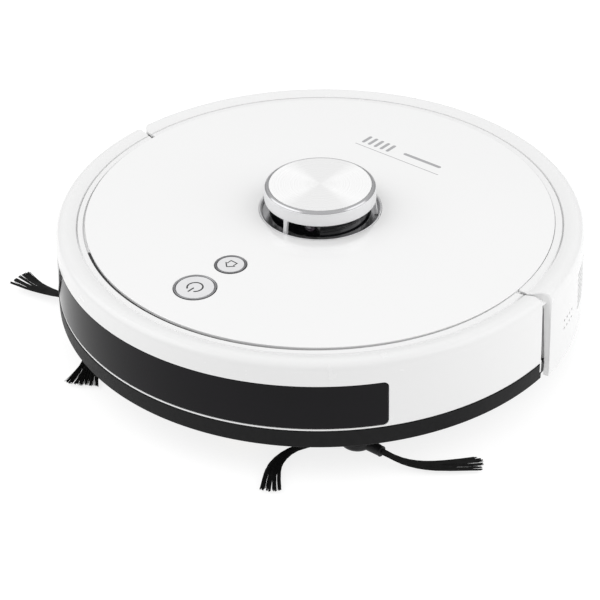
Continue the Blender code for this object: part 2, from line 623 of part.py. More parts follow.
# Each tuft lies as the floor has bent it; the pair turns inwards, so their curls are mirrored.
RIGHT_TUFTS = (
    ([(124.8, -95.6, 9.4), (138.0, -90.5, 5.4), (152.0, -80.5, 3.6), (171.0, -60.0, 2.4)], 12.0),
    ([(93.6, -109.0, 9.4), (81.6, -123.0, 6.0), (81.0, -139.0, 3.8), (92.0, -156.0, 2.4)], 12.0),
)
LEFT_TUFTS = (
    ([(-124.6, -99.4, 9.4), (-140.0, -102.6, 6.4), (-160.0, -103.6, 3.8), (-177.3, -102.4, 2.6)], 11.0),
    ([(-93.6, -109.2, 9.4), (-80.0, -126.0, 6.0), (-68.0, -143.0, 3.8), (-60.0, -157.0, 2.4)], 16.0),
)
RIGHT_TUFTS += ((turned(RIGHT_TUFTS[0][0], SIDE_HUB, 120.0), 12.0),)
LEFT_TUFTS += ((turned(LEFT_TUFTS[0][0], (-hx, hy), -120.0), 12.0),)
for tag, side, tufts in (("R", 1.0, RIGHT_TUFTS), ("L", -1.0, LEFT_TUFTS)):
    centre = (side * hx, hy)
    origin = (centre[0], centre[1], 10.0)
    hub = piece("side_hub_" + tag, lathe([(0.0, 5.4), (6.0, 5.4), (9.6, 7.0), (10.6, 9.0), (10.6, 12.2), (4.2, 12.2), (4.2, 24.0), (0.0, 24.0)], 16, at=centre), "hub", origin)
    for i, (path, wide) in enumerate(tufts):
        start = Vector(path[0]) - Vector((centre[0], centre[1], path[0][2]))
        out = math.degrees(math.atan2(start.y, start.x))
        reach = start.length - 1.3
        sleeve = disc(3.6, 8.0, reach, 10, r_top=2.9)
        sleeve.transform(Matrix.Translation((centre[0], centre[1], 9.1)) @ Matrix.Rotation(math.radians(out), 4, "Z") @ Matrix.Rotation(math.radians(90.0), 4, "Y"))
        add(hub, sleeve)
        piece("side_tuft_%s%d" % (tag, i + 1), tuft(path, wide), "bristle", origin)
    box = piece("side_motor_" + tag, disc(10.4, 20.2, 32.0, 16, centre), "frame")
    add(box, disc(9.0, 30.0, 46.0, 14, (centre[0] - side * 2.0, centre[1] + 3.0)))
    cut(box, disc(4.6, 10.0, 24.8, 12, centre))

# ---------------------------------------------------------------- battery, boards, contacts, sensors
piece("battery", block(-71.0, 71.0, -93.0, -31.0, 16.0, 40.0), "battery")
cover_plate = piece("battery_cover", block(-74.7, 74.7, -96.7, -27.3, UNDERSIDE_Z, 15.5), "chassis")
for x in (-66.0, 66.0):
    cut(cover_plate, disc(3.4, 10.0, 14.2, 12, (x, -33.0)))
piece("main_board", block(-66.0, 66.0, -96.0, -26.0, 44.0, 45.6), "board")
for x0, x1, y0, y1, h in ((-30.0, -12.0, -70.0, -52.0, 2.2), (6.0, 26.0, -84.0, -70.0, 3.0), (40.0, 58.0, -60.0, -36.0, 8.0), (-58.0, -44.0, -88.0, -74.0, 8.0)):
    add(made["main_board"], block(x0, x1, y0, y1, 45.0, 45.6 + h))
for tag, side in SIDES:
    piece("charge_contact_" + tag, mirrored(block(35.0, 57.0, -133.0, -125.0, 12.8, 13.9), side), "brass")
    piece("cliff_sensor_" + tag, mirrored(block(134.0, 142.0, -44.0, -26.0, 12.9, 13.9), side), "lens")


# ---------------------------------------------------------------- dust bin
def bin_outline(x0, x1, y0, r_back, n=10):
    a0, a1 = math.degrees(math.acos(x1 / r_back)), math.degrees(math.acos(x0 / r_back))
    return [(x0, y0)] + [(x1, y0)] + [tuple(polar(r_back, a0 + (a1 - a0) * i / n)[:2]) for i in range(n + 1)]


bx0, bx1 = BIN_X
dustbin = piece("dustbin", prism(bin_outline(bx0, bx1, BIN_Y0, 161.0), *BIN_Z), "bin", (-6.0, 160.0, 40.0))
cut(
    dustbin,
    prism(bin_outline(bx0 + 1.8, bx1 - 1.8, BIN_Y0 + 1.8, 159.2), BIN_Z[0] + 1.8, 70.0),
    block(-44.0, 44.0, 55.0, 70.0, 23.0, 40.0),
    block(60.0, 70.0, 74.0, 112.0, 26.0, 54.0),
)
piece("bin_lid", prism(bin_outline(bx0, bx1, BIN_Y0, 161.0), BIN_Z[1] + GAP, 62.2), "bin", (-6.0, 160.0, 40.0))
hepa = piece("bin_filter", block(64.8, 65.9, 74.6, 111.4, 26.6, 53.4), "filter", (-6.0, 160.0, 40.0))
for k in range(8):
    y = 77.0 + 4.6 * k
    add(hepa, block(60.4, 65.2, y - 0.7, y + 0.7, 28.0, 52.0))
panel = piece("bin_panel", bent_panel(BIN_PANEL_DEG[0], BIN_PANEL_DEG[1], *BIN_PANEL_Z, BIN_PANEL_CORNER, 2.6, 0.0, 12), "white", (-6.0, 160.0, 40.0))
cut(panel, block(-16.3, 16.3, 155.0, 172.0, 44.7, 57.3))
# Two lugs tie the panel to the bin's back wall.
for x in (-40.0, 30.0):
    y = math.sqrt(162.5 ** 2 - x ** 2)
    add(panel, block(x - 4.0, x + 4.0, math.sqrt(161.0 ** 2 - (abs(x) - 4.0) ** 2) + 0.35, y + 2.6, 30.0, 38.0))
piece("bin_latch", bent_panel(90.0 - 5.5, 90.0 + 5.5, 45.0, 57.0, 2.0, 2.4, 0.0, 4), "button", (0.0, 165.0, 51.0))

# ---------------------------------------------------------------- suction fan
fx, fy = FAN_XY
fan = piece("fan_housing", lathe([(0.0, 20.0), (25.0, 20.0), (25.0, 58.0), (0.0, 58.0)], 24, at=FAN_XY), "frame")
add(fan, block(fx + 8.0, 122.0, fy - 2.0, fy + 23.0, 22.0, 52.0))
cut(fan, disc(23.2, 22.0, 44.0, 24, FAN_XY), block(fx + 9.0, 134.0, fy - 0.4, fy + 21.4, 23.6, 50.4), block(70.0, fx, fy - 9.0, fy + 9.0, 26.0, 42.0))
blades = piece("fan_impeller", disc(FAN_R, 24.0, 26.0, 20, FAN_XY), "bin", (fx, fy, 34.0))
add(blades, disc(5.0, 25.0, 42.6, 10, FAN_XY))
for k in range(8):
    blade = block(4.0, FAN_R - 0.8, -0.6, 0.6, 25.4, 40.0)
    blade.transform(Matrix.Translation((fx, fy, 0.0)) @ Matrix.Rotation(math.radians(45.0 * k), 4, "Z"))
    add(blades, blade)
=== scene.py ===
"""Looks of the robot vacuum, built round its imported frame. The front is -Y, lengths below are millimetres, and meshes are scaled to metres as they are made."""

import json
import math
import random

import bmesh
import bpy
from mathutils import Matrix, Vector


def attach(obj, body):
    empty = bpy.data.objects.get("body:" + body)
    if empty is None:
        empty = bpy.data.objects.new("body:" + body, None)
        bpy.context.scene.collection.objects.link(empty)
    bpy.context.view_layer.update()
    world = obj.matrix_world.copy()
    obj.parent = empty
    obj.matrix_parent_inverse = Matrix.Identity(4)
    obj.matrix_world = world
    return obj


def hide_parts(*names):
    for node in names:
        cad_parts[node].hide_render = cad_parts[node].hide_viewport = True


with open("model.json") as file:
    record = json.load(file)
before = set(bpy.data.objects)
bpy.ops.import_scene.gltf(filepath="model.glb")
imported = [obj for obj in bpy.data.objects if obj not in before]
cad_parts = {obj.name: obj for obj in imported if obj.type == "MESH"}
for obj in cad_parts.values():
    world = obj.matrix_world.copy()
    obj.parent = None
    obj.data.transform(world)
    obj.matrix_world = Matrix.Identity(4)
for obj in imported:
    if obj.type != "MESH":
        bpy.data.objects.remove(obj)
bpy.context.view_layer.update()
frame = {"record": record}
BODY_OF = {n: b for b, ns in frame["record"]["behaviour"]["bodies"].items() for n in ns}

# ---------------------------------------------------------------- driving dimensions, as in the part
BODY_R, UNDERSIDE_Z, FLOOR_T = 166.9, 13.0, 2.5
PLATE_R, PLATE_Z, DECK_Z = 145.8, (76.0, 78.0), (73.5, 75.7)
LIP_R, LIP_Z, GROOVE_SHIFT = 146.2, 77.3, 1.5
BUMPER_END_DEG, SHELL_START_DEG, SHELL_TOP_DEG, SLOT_FOOT_DEG = 0.5, 3.7, 1.2, 1.3
STRIP_Z, WINDOW_HALF_DEG, WINDOW_Z, WINDOW_CORNER, SHELL_FOOT_Z = (24.0, 35.2), 52.7, (37.0, 65.0), 3.0, 19.5
LIDAR_XY, LIDAR_WELL_R, LIDAR_CAP_R, LIDAR_CAP_Z, LIDAR_TOP_Z = (0.0, 1.0), 38.4, 35.0, (85.3, 94.3), 95.0
LIDAR_POSTS_DEG = (-88.0, 32.0, 152.0)
POWER_XY, POWER_R, HOME_XY, HOME_R = (0.0, -113.0), 12.6, (0.0, -82.3), 9.5
WHEEL_YZ, WHEEL_R, PIVOT_YZ = (5.0, 34.0), 34.0, (-34.0, 24.0)
CASTER_XY, CASTER_R, CASTER_TRAIL = (0.0, -120.0), 13.0, 4.0
ROLLER_YZ, ROLLER_R, ROLLER_HALF = (30.0, 17.5), 16.5, 79.0
SIDE_HUB = (106.0, -95.0)
BIN_X, BIN_Y0, BIN_Z = (-78.0, 66.0), 62.0, (17.0, 60.0)
BIN_PANEL_DEG, BIN_PANEL_Z, BIN_PANEL_CORNER = (64.5, 118.5), (19.6, 63.0), 1.2
FAN_XY, FAN_R = (103.0, 84.0), 21.5
GAP = 0.3
ROUND = 192
SIDES = (("R", 1.0), ("L", -1.0))


# ---------------------------------------------------------------- mesh helpers
def polar(r, degrees, z=0.0, at=(0.0, 0.0)):
    a = math.radians(degrees)
    return Vector((at[0] + r * math.cos(a), at[1] + r * math.sin(a), z))


def outward(bm):
    bmesh.ops.recalc_face_normals(bm, faces=bm.faces[:])
    if bm.calc_volume(signed=True) < 0:
        bmesh.ops.reverse_faces(bm, faces=bm.faces[:])
    return bm


def fillet(outline, radius, n=3):
    """The closed outline with each corner rounded. A point may carry its own radius as a third number."""
    out = []
    count = len(outline)
    for i, point in enumerate(outline):
        p = Vector(point[:2])
        own = point[2] if len(point) > 2 else radius
        a, b = Vector(outline[i - 1][:2]), Vector(outline[(i + 1) % count][:2])
        if own <= 0.0 or p.x == 0.0:
            out.append((p.x, p.y))
            continue
        u, v = (a - p), (b - p)
        lu, lv = u.length, v.length
        u, v = u / lu, v / lv
        turn = math.pi - math.acos(max(-1.0, min(1.0, u.dot(v))))
        if turn < 0.06:
            out.append((p.x, p.y))
            continue
        d = min(own * math.tan(turn / 2), 0.46 * lu, 0.46 * lv)
        s, e = p + u * d, p + v * d
        for k in range(n + 1):
            t = k / n
            q = s * (1 - t) ** 2 + p * 2 * t * (1 - t) + e * t * t
            out.append((q.x, q.y))
    return out


def flowing(points, n):
    """A smooth curve through the points (Catmull-Rom), with n steps between neighbours."""
    out = []
    last = len(points) - 1
    for i in range(last):
        p = [Vector(points[min(max(k, 0), last)]) for k in (i - 1, i, i + 1, i + 2)]
        for k in range(n):
            f = k / n
            q = 0.5 * (2 * p[1] + (p[2] - p[0]) * f + (2 * p[0] - 5 * p[1] + 4 * p[2] - p[3]) * f * f + (3 * p[1] - p[0] - 3 * p[2] + p[3]) * f ** 3)
            out.append((q.x, q.y, 0.0))
    return out + [(*points[-1], 0.0)]


def tucked(r, z, d, r0=158.0, r1=161.0, z0=74.9, z1=76.4):
    """Draws a shell's outer wall and top in by d."""
    wr = min(max((r - r0) / (r1 - r0), 0.0), 1.0)
    wz = min(max((z - z0) / (z1 - z0), 0.0), 1.0)
    return (r - d * wr, z - d * wz)


def lathe(profile, steps, a0=0.0, a1=360.0, at=(0.0, 0.0), move=None, ends=0.0, tuck=tucked):
    """A closed (r, z) outline turned about Z. A partial turn has flat ends, or ends whose outer edge is rounded by that radius."""
    full = a1 - a0 > 359.999
    bm = bmesh.new()
    if full:
        stations = [(a0 + 360.0 * i / steps, profile) for i in range(steps)]
    elif ends > 0.0:
        r_mid = sum(p[0] for p in profile) / len(profile)
        span = math.degrees(ends / r_mid)
        rings = []
        for k in range(5):
            t = math.radians(22.5 * k)
            rings.append((span * (1 - math.cos(t)), [tuck(r, z, ends * (1 - math.sin(t))) for r, z in profile]))
        stations = [(a0 + d, p) for d, p in rings[:-1]]
        stations += [(a0 + span + (a1 - a0 - 2 * span) * i / steps, profile) for i in range(steps + 1)]
        stations += [(a1 - d, p) for d, p in reversed(rings[:-1])]
    else:
        stations = [(a0 + (a1 - a0) * i / steps, profile) for i in range(steps + 1)]
    cols = []
    for a, outline in stations:
        col = []
        for (r, z), (r0, _) in zip(outline, profile):
            p = polar(r, a, z, at)
            col.append(None if r0 == 0.0 else bm.verts.new(move(p, r) if move else p))
        cols.append(col)
    n, m = len(profile), len(cols)
    for j in range(n):
        k = (j + 1) % n
        if profile[j][0] == 0.0 and profile[k][0] == 0.0:
            continue
        if profile[j][0] == 0.0 or profile[k][0] == 0.0:
            rim = j if profile[j][0] else k
            bm.faces.new([c[rim] for c in cols])
            continue
        for i in range(m if full else m - 1):
            c, d = cols[i], cols[(i + 1) % m]
            bm.faces.new((c[j], d[j], d[k], c[k]))
    if not full:
        bm.faces.new(cols[0])
        bm.faces.new(cols[-1][::-1])
    return outward(bm)


def loft(rings, closed=False):
    bm = bmesh.new()
    loops = [[bm.verts.new(p) for p in ring] for ring in rings]
    n = len(loops[0])
    pairs = list(zip(loops, loops[1:]))
    if closed:
        pairs.append((loops[-1], loops[0]))
    for a, b in pairs:
        for j in range(n):
            k = (j + 1) % n
            bm.faces.new((a[j], b[j], b[k], a[k]))
    if not closed:
        bm.faces.new(loops[0])
        bm.faces.new(loops[-1][::-1])
    return outward(bm)


def soften(bm, width, segments=2, angle=24.0):
    """Rounds every edge that is sharper than the angle."""
    if width <= 0.0:
        return bm
    edges = [e for e in bm.edges if len(e.link_faces) == 2 and e.calc_face_angle(0.0) > math.radians(angle)]
    bmesh.ops.bevel(bm, geom=edges, offset=width, offset_type="OFFSET", segments=segments, profile=0.5, affect="EDGES", clamp_overlap=True)
    return bm


def prism(outline, z0, z1, edge=0.0):
    return soften(loft([[Vector((x, y, z)) for x, y in outline] for z in (z0, z1)]), edge)


def block(x0, x1, y0, y1, z0, z1, edge=0.0, segments=2):
    bm = bmesh.new()
    bmesh.ops.create_cube(bm, size=1.0)
    bmesh.ops.scale(bm, vec=(x1 - x0, y1 - y0, z1 - z0), verts=bm.verts[:])
    bmesh.ops.translate(bm, vec=((x0 + x1) / 2, (y0 + y1) / 2, (z0 + z1) / 2), verts=bm.verts[:])
    return soften(bm, edge, segments)


def rounded_rect(x0, x1, y0, y1, r, n=6):
    pts = []
    for cx, cy, s in ((x1 - r, y1 - r, 0.0), (x0 + r, y1 - r, 90.0), (x0 + r, y0 + r, 180.0), (x1 - r, y0 + r, 270.0)):
        for k in range(n + 1):
            a = math.radians(s + 90.0 * k / n)
            pts.append((cx + r * math.cos(a), cy + r * math.sin(a)))
    return pts


def pad(x0, x1, y0, y1, z0, z1, corner, edge=0.3):
    """A plate with rounded corners and softened edges."""
    return prism(rounded_rect(x0, x1, y0, y1, corner), z0, z1, edge)


def disc(r, z0, z1, n=48, at=(0.0, 0.0), r_top=None, edge=0.0):
    bm = bmesh.new()
    bmesh.ops.create_cone(bm, cap_ends=True, segments=n, radius1=r, radius2=r if r_top is None else r_top, depth=z1 - z0)
    bmesh.ops.translate(bm, vec=(at[0], at[1], (z0 + z1) / 2), verts=bm.verts[:])
    return soften(bm, edge)


def along_x(bm, y, z):
    bm.transform(Matrix.Translation((0.0, y, z)) @ Matrix.Rotation(math.radians(90.0), 4, "Y"))
    return bm


def rod_x(r, x0, x1, y, z, n=32, edge=0.0):
    return along_x(disc(r, x0, x1, n, edge=edge), y, z)


def carried(bm, place):
    bm.transform(place)
    return bm


def joined(*shapes):
    """Several closed shapes in one mesh, for one Boolean."""
    out = bmesh.new()
    for bm in shapes:
        mesh = bpy.data.meshes.new("t")
        bm.to_mesh(mesh)
        bm.free()
        out.from_mesh(mesh)
        bpy.data.meshes.remove(mesh)
    return out


def shell_r(z):
    marks = ((19.5, 166.9), (24.0, 166.9), (32.0, 166.5), (50.0, 165.5), (61.0, 164.8), (71.5, 164.2), (78.0, 163.6))
    z = min(max(z, marks[0][0]), marks[-1][0])
    for (z0, r0), (z1, r1) in zip(marks, marks[1:]):
        if z <= z1:
            return r0 + (r1 - r0) * (z - z0) / (z1 - z0)
    return marks[-1][1]


def bent_panel(a0, a1, z0, z1, corner, inset, proud, steps, n=8, lip=0.0):
    """A panel that follows the side wall, with rounded corners and, with lip, a rounded outer edge."""
    r_mid = shell_r((z0 + z1) / 2)

    def columns(shrink):
        c = max(corner - shrink, 0.01)
        b0, b1 = a0 + math.degrees(shrink / r_mid), a1 - math.degrees(shrink / r_mid)
        ends = math.degrees(c / r_mid)
        out = []
        for i in range(n + 1):
            t = math.radians(90.0 * i / n)
            out.append((b0 + ends * (1 - math.cos(t)), c * (1 - math.sin(t)) + shrink))
        out += [(b0 + ends + (b1 - b0 - 2 * ends) * i / steps, shrink) for i in range(1, steps)]
        out += [(b0 + b1 - a, s) for a, s in reversed(out[: n + 1])]
        return out

    def ring(shrink, out_by):
        cols = columns(shrink)
        low = [polar(shell_r(z0 + s) + out_by, a, z0 + s) for a, s in cols]
        high = [polar(shell_r(z1 - s) + out_by, a, z1 - s) for a, s in reversed(cols)]
        return low + high

    rings = [ring(0.0, -inset)]
    if lip > 0.0:
        for k in range(4):
            t = math.radians(30.0 * k)
            rings.append(ring(lip * (1 - math.cos(t)), proud - lip * (1 - math.sin(t))))
        last = lip
    else:
        rings.append(ring(0.0, proud))
        last = 0.0
    bm = bmesh.new()
    loops = [[bm.verts.new(p) for p in r] for r in rings]
    for a, b in zip(loops, loops[1:]):
        for j in range(len(a)):
            k = (j + 1) % len(a)
            bm.faces.new((a[j], b[j], b[k], a[k]))
    half = len(rings[0]) // 2
    levels = 5
    for loop, out_by, shrink in ((loops[0], -inset, 0.0), (loops[-1], proud, last)):
        grid = []
        for i in range(half):
            low, high = loop[i], loop[2 * half - 1 - i]
            a = math.degrees(math.atan2(low.co.y, low.co.x))
            col = [low]
            for k in range(1, levels):
                z = low.co.z + (high.co.z - low.co.z) * k / levels
                col.append(bm.verts.new(polar(shell_r(z) + out_by, a, z)))
            col.append(high)
            grid.append(col)
        for i in range(half - 1):
            for k in range(levels):
                f = [grid[i][k], grid[i + 1][k], grid[i + 1][k + 1], grid[i][k + 1]]
                if len(set(f)) == 4:
                    bm.faces.new(f)
    bmesh.ops.remove_doubles(bm, verts=bm.verts[:], dist=1e-5)
    return outward(bm)


def mirrored(bm, side):
    if side < 0:
        bmesh.ops.scale(bm, vec=(-1.0, 1.0, 1.0), verts=bm.verts[:])
        bmesh.ops.reverse_faces(bm, faces=bm.faces[:])
    return bm


def both(make):
    """The shape and its mirror image, in one mesh."""
    return joined(make(), mirrored(make(), -1.0))


def raw_object(name, bm):
    bmesh.ops.scale(bm, vec=(0.001, 0.001, 0.001), verts=bm.verts[:])
    mesh = bpy.data.meshes.new(name)
    bm.to_mesh(mesh)
    bm.free()
    obj = bpy.data.objects.new(name, mesh)
    bpy.context.scene.collection.objects.link(obj)
    return obj


class Made:
    """A shape in progress: Booleans are baked into its mesh as they are asked for."""

    def __init__(self, name, bm):
        self.obj = raw_object(name, bm)

    def change(self, operation, shapes, own=False):
        helper = raw_object("tool", joined(*shapes) if len(shapes) > 1 else shapes[0])
        modifier = self.obj.modifiers.new("b", "BOOLEAN")
        modifier.operation, modifier.solver, modifier.object = operation, "EXACT", helper
        modifier.use_self = own
        graph = bpy.context.evaluated_depsgraph_get()
        mesh = bpy.data.meshes.new_from_object(self.obj.evaluated_get(graph))
        self.obj.modifiers.clear()
        old = self.obj.data
        self.obj.data = mesh
        bpy.data.meshes.remove(old)
        data = helper.data
        bpy.data.objects.remove(helper)
        bpy.data.meshes.remove(data)
        return self

    def cut(self, *shapes, own=False):
        return self.change("DIFFERENCE", shapes, own)

    def add(self, *shapes, own=False):
        return self.change("UNION", shapes, own)


def show(name, shape, look, stands_for=(), body=None, sharp=32.0, weighted=True):
    """A finished piece in its material, riding on its body."""
    obj = shape.obj if isinstance(shape, Made) else raw_object(name, shape)
    obj.name = obj.data.name = name
    nodes = [stands_for] if isinstance(stands_for, str) else list(stands_for)
    obj.data.materials.clear()
    obj.data.materials.append(look)
    obj.data.shade_smooth()
    obj.data.set_sharp_from_angle(angle=math.radians(sharp))
    if weighted:
        modifier = obj.modifiers.new("normals", "WEIGHTED_NORMAL")
        modifier.keep_sharp = True
        modifier.weight = 50
    if nodes:
        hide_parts(*nodes)
    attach(obj, body or BODY_OF[nodes[0]])
    return obj


# ---------------------------------------------------------------- materials
def grey(v):
    return (v, v, v)


class Stuff:
    """A procedural material: a Principled surface whose colour, roughness and relief come from noise in the piece's own space."""

    def __init__(self, name, colour, rough, metal=0.0, **sockets):
        self.m = bpy.data.materials.new(name)
        self.m.use_nodes = True
        self.t = self.m.node_tree
        self.p = self.t.nodes["Principled BSDF"]
        self.p.inputs["Base Color"].default_value = (*colour, 1.0)
        self.p.inputs["Roughness"].default_value = rough
        self.p.inputs["Metallic"].default_value = metal
        self.colour, self.rough = colour, rough
        for key, value in sockets.items():
            self.p.inputs[key.replace("_", " ")].default_value = value
        self.m.diffuse_color = (*colour, 1.0)
        self.bump = None
        self.where = self.t.nodes.new("ShaderNodeTexCoord").outputs["Object"]

    def node(self, kind, **settings):
        n = self.t.nodes.new(kind)
        for k, v in settings.items():
            setattr(n, k, v)
        return n

    def link(self, a, b):
        self.t.links.new(a, b)

    def noise(self, scale, detail=3.0, rough=0.5, stretch=None):
        n = self.node("ShaderNodeTexNoise")
        n.inputs["Scale"].default_value = scale
        n.inputs["Detail"].default_value = detail
        n.inputs["Roughness"].default_value = rough
        where = self.where
        if stretch:
            mapping = self.node("ShaderNodeMapping")
            mapping.inputs["Scale"].default_value = stretch
            self.link(where, mapping.inputs["Vector"])
            where = mapping.outputs["Vector"]
        self.link(where, n.inputs["Vector"])
        return n.outputs["Fac"]

    def ramp(self, source, low, high, a, b):
        r = self.node("ShaderNodeMapRange")
        r.inputs["From Min"].default_value, r.inputs["From Max"].default_value = low, high
        r.inputs["To Min"].default_value, r.inputs["To Max"].default_value = a, b
        self.link(source, r.inputs["Value"])
        return r.outputs["Result"]

    def mottle(self, scale, amount, tint=None, detail=4.0, stretch=None):
        """Uneven colour: between the colour and the tint."""
        tint = tint or tuple(max(c * (1 - amount), 0.0) for c in self.colour)
        mix = self.node("ShaderNodeMix", data_type="RGBA")
        mix.inputs[6].default_value = (*self.colour, 1.0) if not self.p.inputs["Base Color"].is_linked else (1, 1, 1, 1)
        mix.inputs[7].default_value = (*tint, 1.0)
        if self.p.inputs["Base Color"].is_linked:
            self.link(self.p.inputs["Base Color"].links[0].from_socket, mix.inputs[6])
        self.link(self.ramp(self.noise(scale, detail, 0.6, stretch), 0.32, 0.72, 0.0, 1.0), mix.inputs[0])
        self.link(mix.outputs[2], self.p.inputs["Base Color"])
        return self

    def specks(self, scale, tint, low=0.62, high=0.72, amount=1.0, detail=2.0, stretch=None):
        mix = self.node("ShaderNodeMix", data_type="RGBA")
        mix.inputs[6].default_value = (*self.colour, 1.0)
        mix.inputs[7].default_value = (*tint, 1.0)
        if self.p.inputs["Base Color"].is_linked:
            self.link(self.p.inputs["Base Color"].links[0].from_socket, mix.inputs[6])
        self.link(self.ramp(self.noise(scale, detail, 0.5, stretch), low, high, 0.0, amount), mix.inputs[0])
        self.link(mix.outputs[2], self.p.inputs["Base Color"])
        return self

    def uneven_gloss(self, scale, spread, detail=4.0, stretch=None):
        self.link(self.ramp(self.noise(scale, detail, 0.6, stretch), 0.3, 0.7, max(self.rough - spread, 0.0), self.rough + spread), self.p.inputs["Roughness"])
        return self

    def relief(self, scale, distance, strength=0.3, detail=3.0, stretch=None, source=None):
        b = self.node("ShaderNodeBump")
        b.inputs["Strength"].default_value = strength
        b.inputs["Distance"].default_value = distance
        self.link(source if source is not None else self.noise(scale, detail, 0.55, stretch), b.inputs["Height"])
        if self.bump is not None:
            self.link(self.bump.outputs["Normal"], b.inputs["Normal"])
        self.link(b.outputs["Normal"], self.p.inputs["Normal"])
        self.bump = b
        return self

    def edges(self, tint, low=0.53, high=0.6, amount=0.6):
        """Wear on convex edges."""
        geo = self.node("ShaderNodeNewGeometry")
        worn = self.ramp(geo.outputs["Pointiness"], low, high, 0.0, amount)
        times = self.node("ShaderNodeMath", operation="MULTIPLY")
        self.link(worn, times.inputs[0])
        self.link(self.ramp(self.noise(140.0, 4.0, 0.7), 0.4, 0.62, 0.0, 1.0), times.inputs[1])
        mix = self.node("ShaderNodeMix", data_type="RGBA")
        mix.inputs[6].default_value = (*self.colour, 1.0)
        mix.inputs[7].default_value = (*tint, 1.0)
        if self.p.inputs["Base Color"].is_linked:
            self.link(self.p.inputs["Base Color"].links[0].from_socket, mix.inputs[6])
        self.link(times.outputs[0], mix.inputs[0])
        self.link(mix.outputs[2], self.p.inputs["Base Color"])
        return self


def turned_metal(name, colour, rough, centre, axis="Z", spread=0.10, anisotropic=0.75, lines=2600.0, depth=0.000012, metal=1.0, painted_highlight_fans=None):
    """Metal with the fine concentric lines of a lathe tool. Given fan directions, it also gets a painted highlight in
    two paler fans, with painted shade between them.
    """
    s = Stuff(name, colour, rough, metal, Anisotropic=anisotropic)
    tangent = s.node("ShaderNodeTangent", direction_type="RADIAL", axis=axis)
    s.link(tangent.outputs["Tangent"], s.p.inputs["Tangent"])
    mapping = s.node("ShaderNodeMapping")
    mapping.inputs["Location"].default_value = (-centre[0] * 0.001, -centre[1] * 0.001, 0.0)
    s.link(s.where, mapping.inputs["Vector"])
    flat = s.node("ShaderNodeVectorMath", operation="MULTIPLY")
    flat.inputs[1].default_value = (1.0, 1.0, 0.0)
    s.link(mapping.outputs["Vector"], flat.inputs[0])
    length = s.node("ShaderNodeVectorMath", operation="LENGTH")
    s.link(flat.outputs["Vector"], length.inputs[0])
    combine = s.node("ShaderNodeCombineXYZ")
    s.link(length.outputs["Value"], combine.inputs[0])
    n = s.node("ShaderNodeTexNoise")
    n.inputs["Scale"].default_value = lines
    n.inputs["Detail"].default_value = 3.0
    s.link(combine.outputs["Vector"], n.inputs["Vector"])
    s.link(s.ramp(n.outputs["Fac"], 0.3, 0.7, rough - spread, rough + spread), s.p.inputs["Roughness"])
    s.relief(0, depth, 0.5, source=n.outputs["Fac"])
    mix = s.node("ShaderNodeMix", data_type="RGBA")
    mix.inputs[6].default_value = (*(c * 0.93 for c in colour), 1.0)
    mix.inputs[7].default_value = (*colour, 1.0)
    s.link(s.ramp(n.outputs["Fac"], 0.35, 0.65, 0.0, 1.0), mix.inputs[0])
    s.link(mix.outputs[2], s.p.inputs["Base Color"])
    if painted_highlight_fans:
        # Painted highlight: the colour is paler in two soft fans that face each other across the centre, standing in
        # for the lamps' sheen on the lathe lines; elsewhere the colour is darkened as painted shade.
        unit = s.node("ShaderNodeVectorMath", operation="NORMALIZE")
        s.link(flat.outputs["Vector"], unit.inputs[0])
        along = s.node("ShaderNodeVectorMath", operation="DOT_PRODUCT")
        along.inputs[1].default_value = (*Vector(painted_highlight_fans).normalized(), 0.0)
        s.link(unit.outputs["Vector"], along.inputs[0])
        size = s.node("ShaderNodeMath", operation="ABSOLUTE")
        s.link(along.outputs["Value"], size.inputs[0])
        near = s.ramp(length.outputs["Value"], 0.0, 0.012, 0.35, 1.0)
        share = s.node("ShaderNodeMath", operation="MULTIPLY")
        s.link(s.ramp(size.outputs[0], 0.50, 0.78, 0.0, 1.0), share.inputs[0])
        s.link(near, share.inputs[1])
        painted_highlight_mix = s.node("ShaderNodeMix", data_type="RGBA")
        s.link(mix.outputs[2], painted_highlight_mix.inputs[7])
        painted_shade = s.node("ShaderNodeVectorMath", operation="SCALE")
        painted_shade.inputs["Scale"].default_value = 0.895
        s.link(mix.outputs[2], painted_shade.inputs[0])
        s.link(painted_shade.outputs["Vector"], painted_highlight_mix.inputs[6])
        s.link(share.outputs[0], painted_highlight_mix.inputs[0])
        s.link(painted_highlight_mix.outputs[2], s.p.inputs["Base Color"])
    return s


WHITE = Stuff("white_plastic", (0.80, 0.80, 0.80), 0.26, Coat_Weight=0.12, Coat_Roughness=0.12).mottle(9.0, 0.012).uneven_gloss(60.0, 0.015).relief(300.0, 0.00001, 0.05).m
PLATE = Stuff("gloss_top_plate", (0.84, 0.84, 0.84), 0.07, Coat_Weight=1.0, Coat_Roughness=0.02).mottle(6.0, 0.008).uneven_gloss(30.0, 0.03).relief(260.0, 0.00001, 0.05).m
SMOKED = Stuff("smoked_window", (0.006, 0.006, 0.0065), 0.07, Specular_IOR_Level=0.115).mottle(14.0, 0.3, (0.008, 0.007, 0.009)).uneven_gloss(40.0, 0.03).relief(200.0, 0.00001, 0.04).m
STRIP = Stuff("strip_plastic", (0.011, 0.011, 0.0115), 0.45, Specular_IOR_Level=0.10).mottle(300.0, 0.25).uneven_gloss(500.0, 0.06).relief(2600.0, 0.00006, 0.30).m
CHASSIS = Stuff("chassis_plastic", (0.026, 0.026, 0.028), 0.55).mottle(40.0, 0.2, (0.034, 0.034, 0.035)).uneven_gloss(300.0, 0.07).relief(2200.0, 0.00008, 0.35).edges((0.10, 0.10, 0.10), amount=0.35).m
FRAME = Stuff("frame_plastic", (0.085, 0.085, 0.09), 0.55).mottle(60.0, 0.15).uneven_gloss(200.0, 0.07).relief(1800.0, 0.00006, 0.3).edges((0.18, 0.18, 0.18), amount=0.4).m
CAP_SIDE = turned_metal("cap_metal", (0.86, 0.86, 0.87), 0.42, LIDAR_XY, spread=0.04, anisotropic=0.3, metal=0.25).m
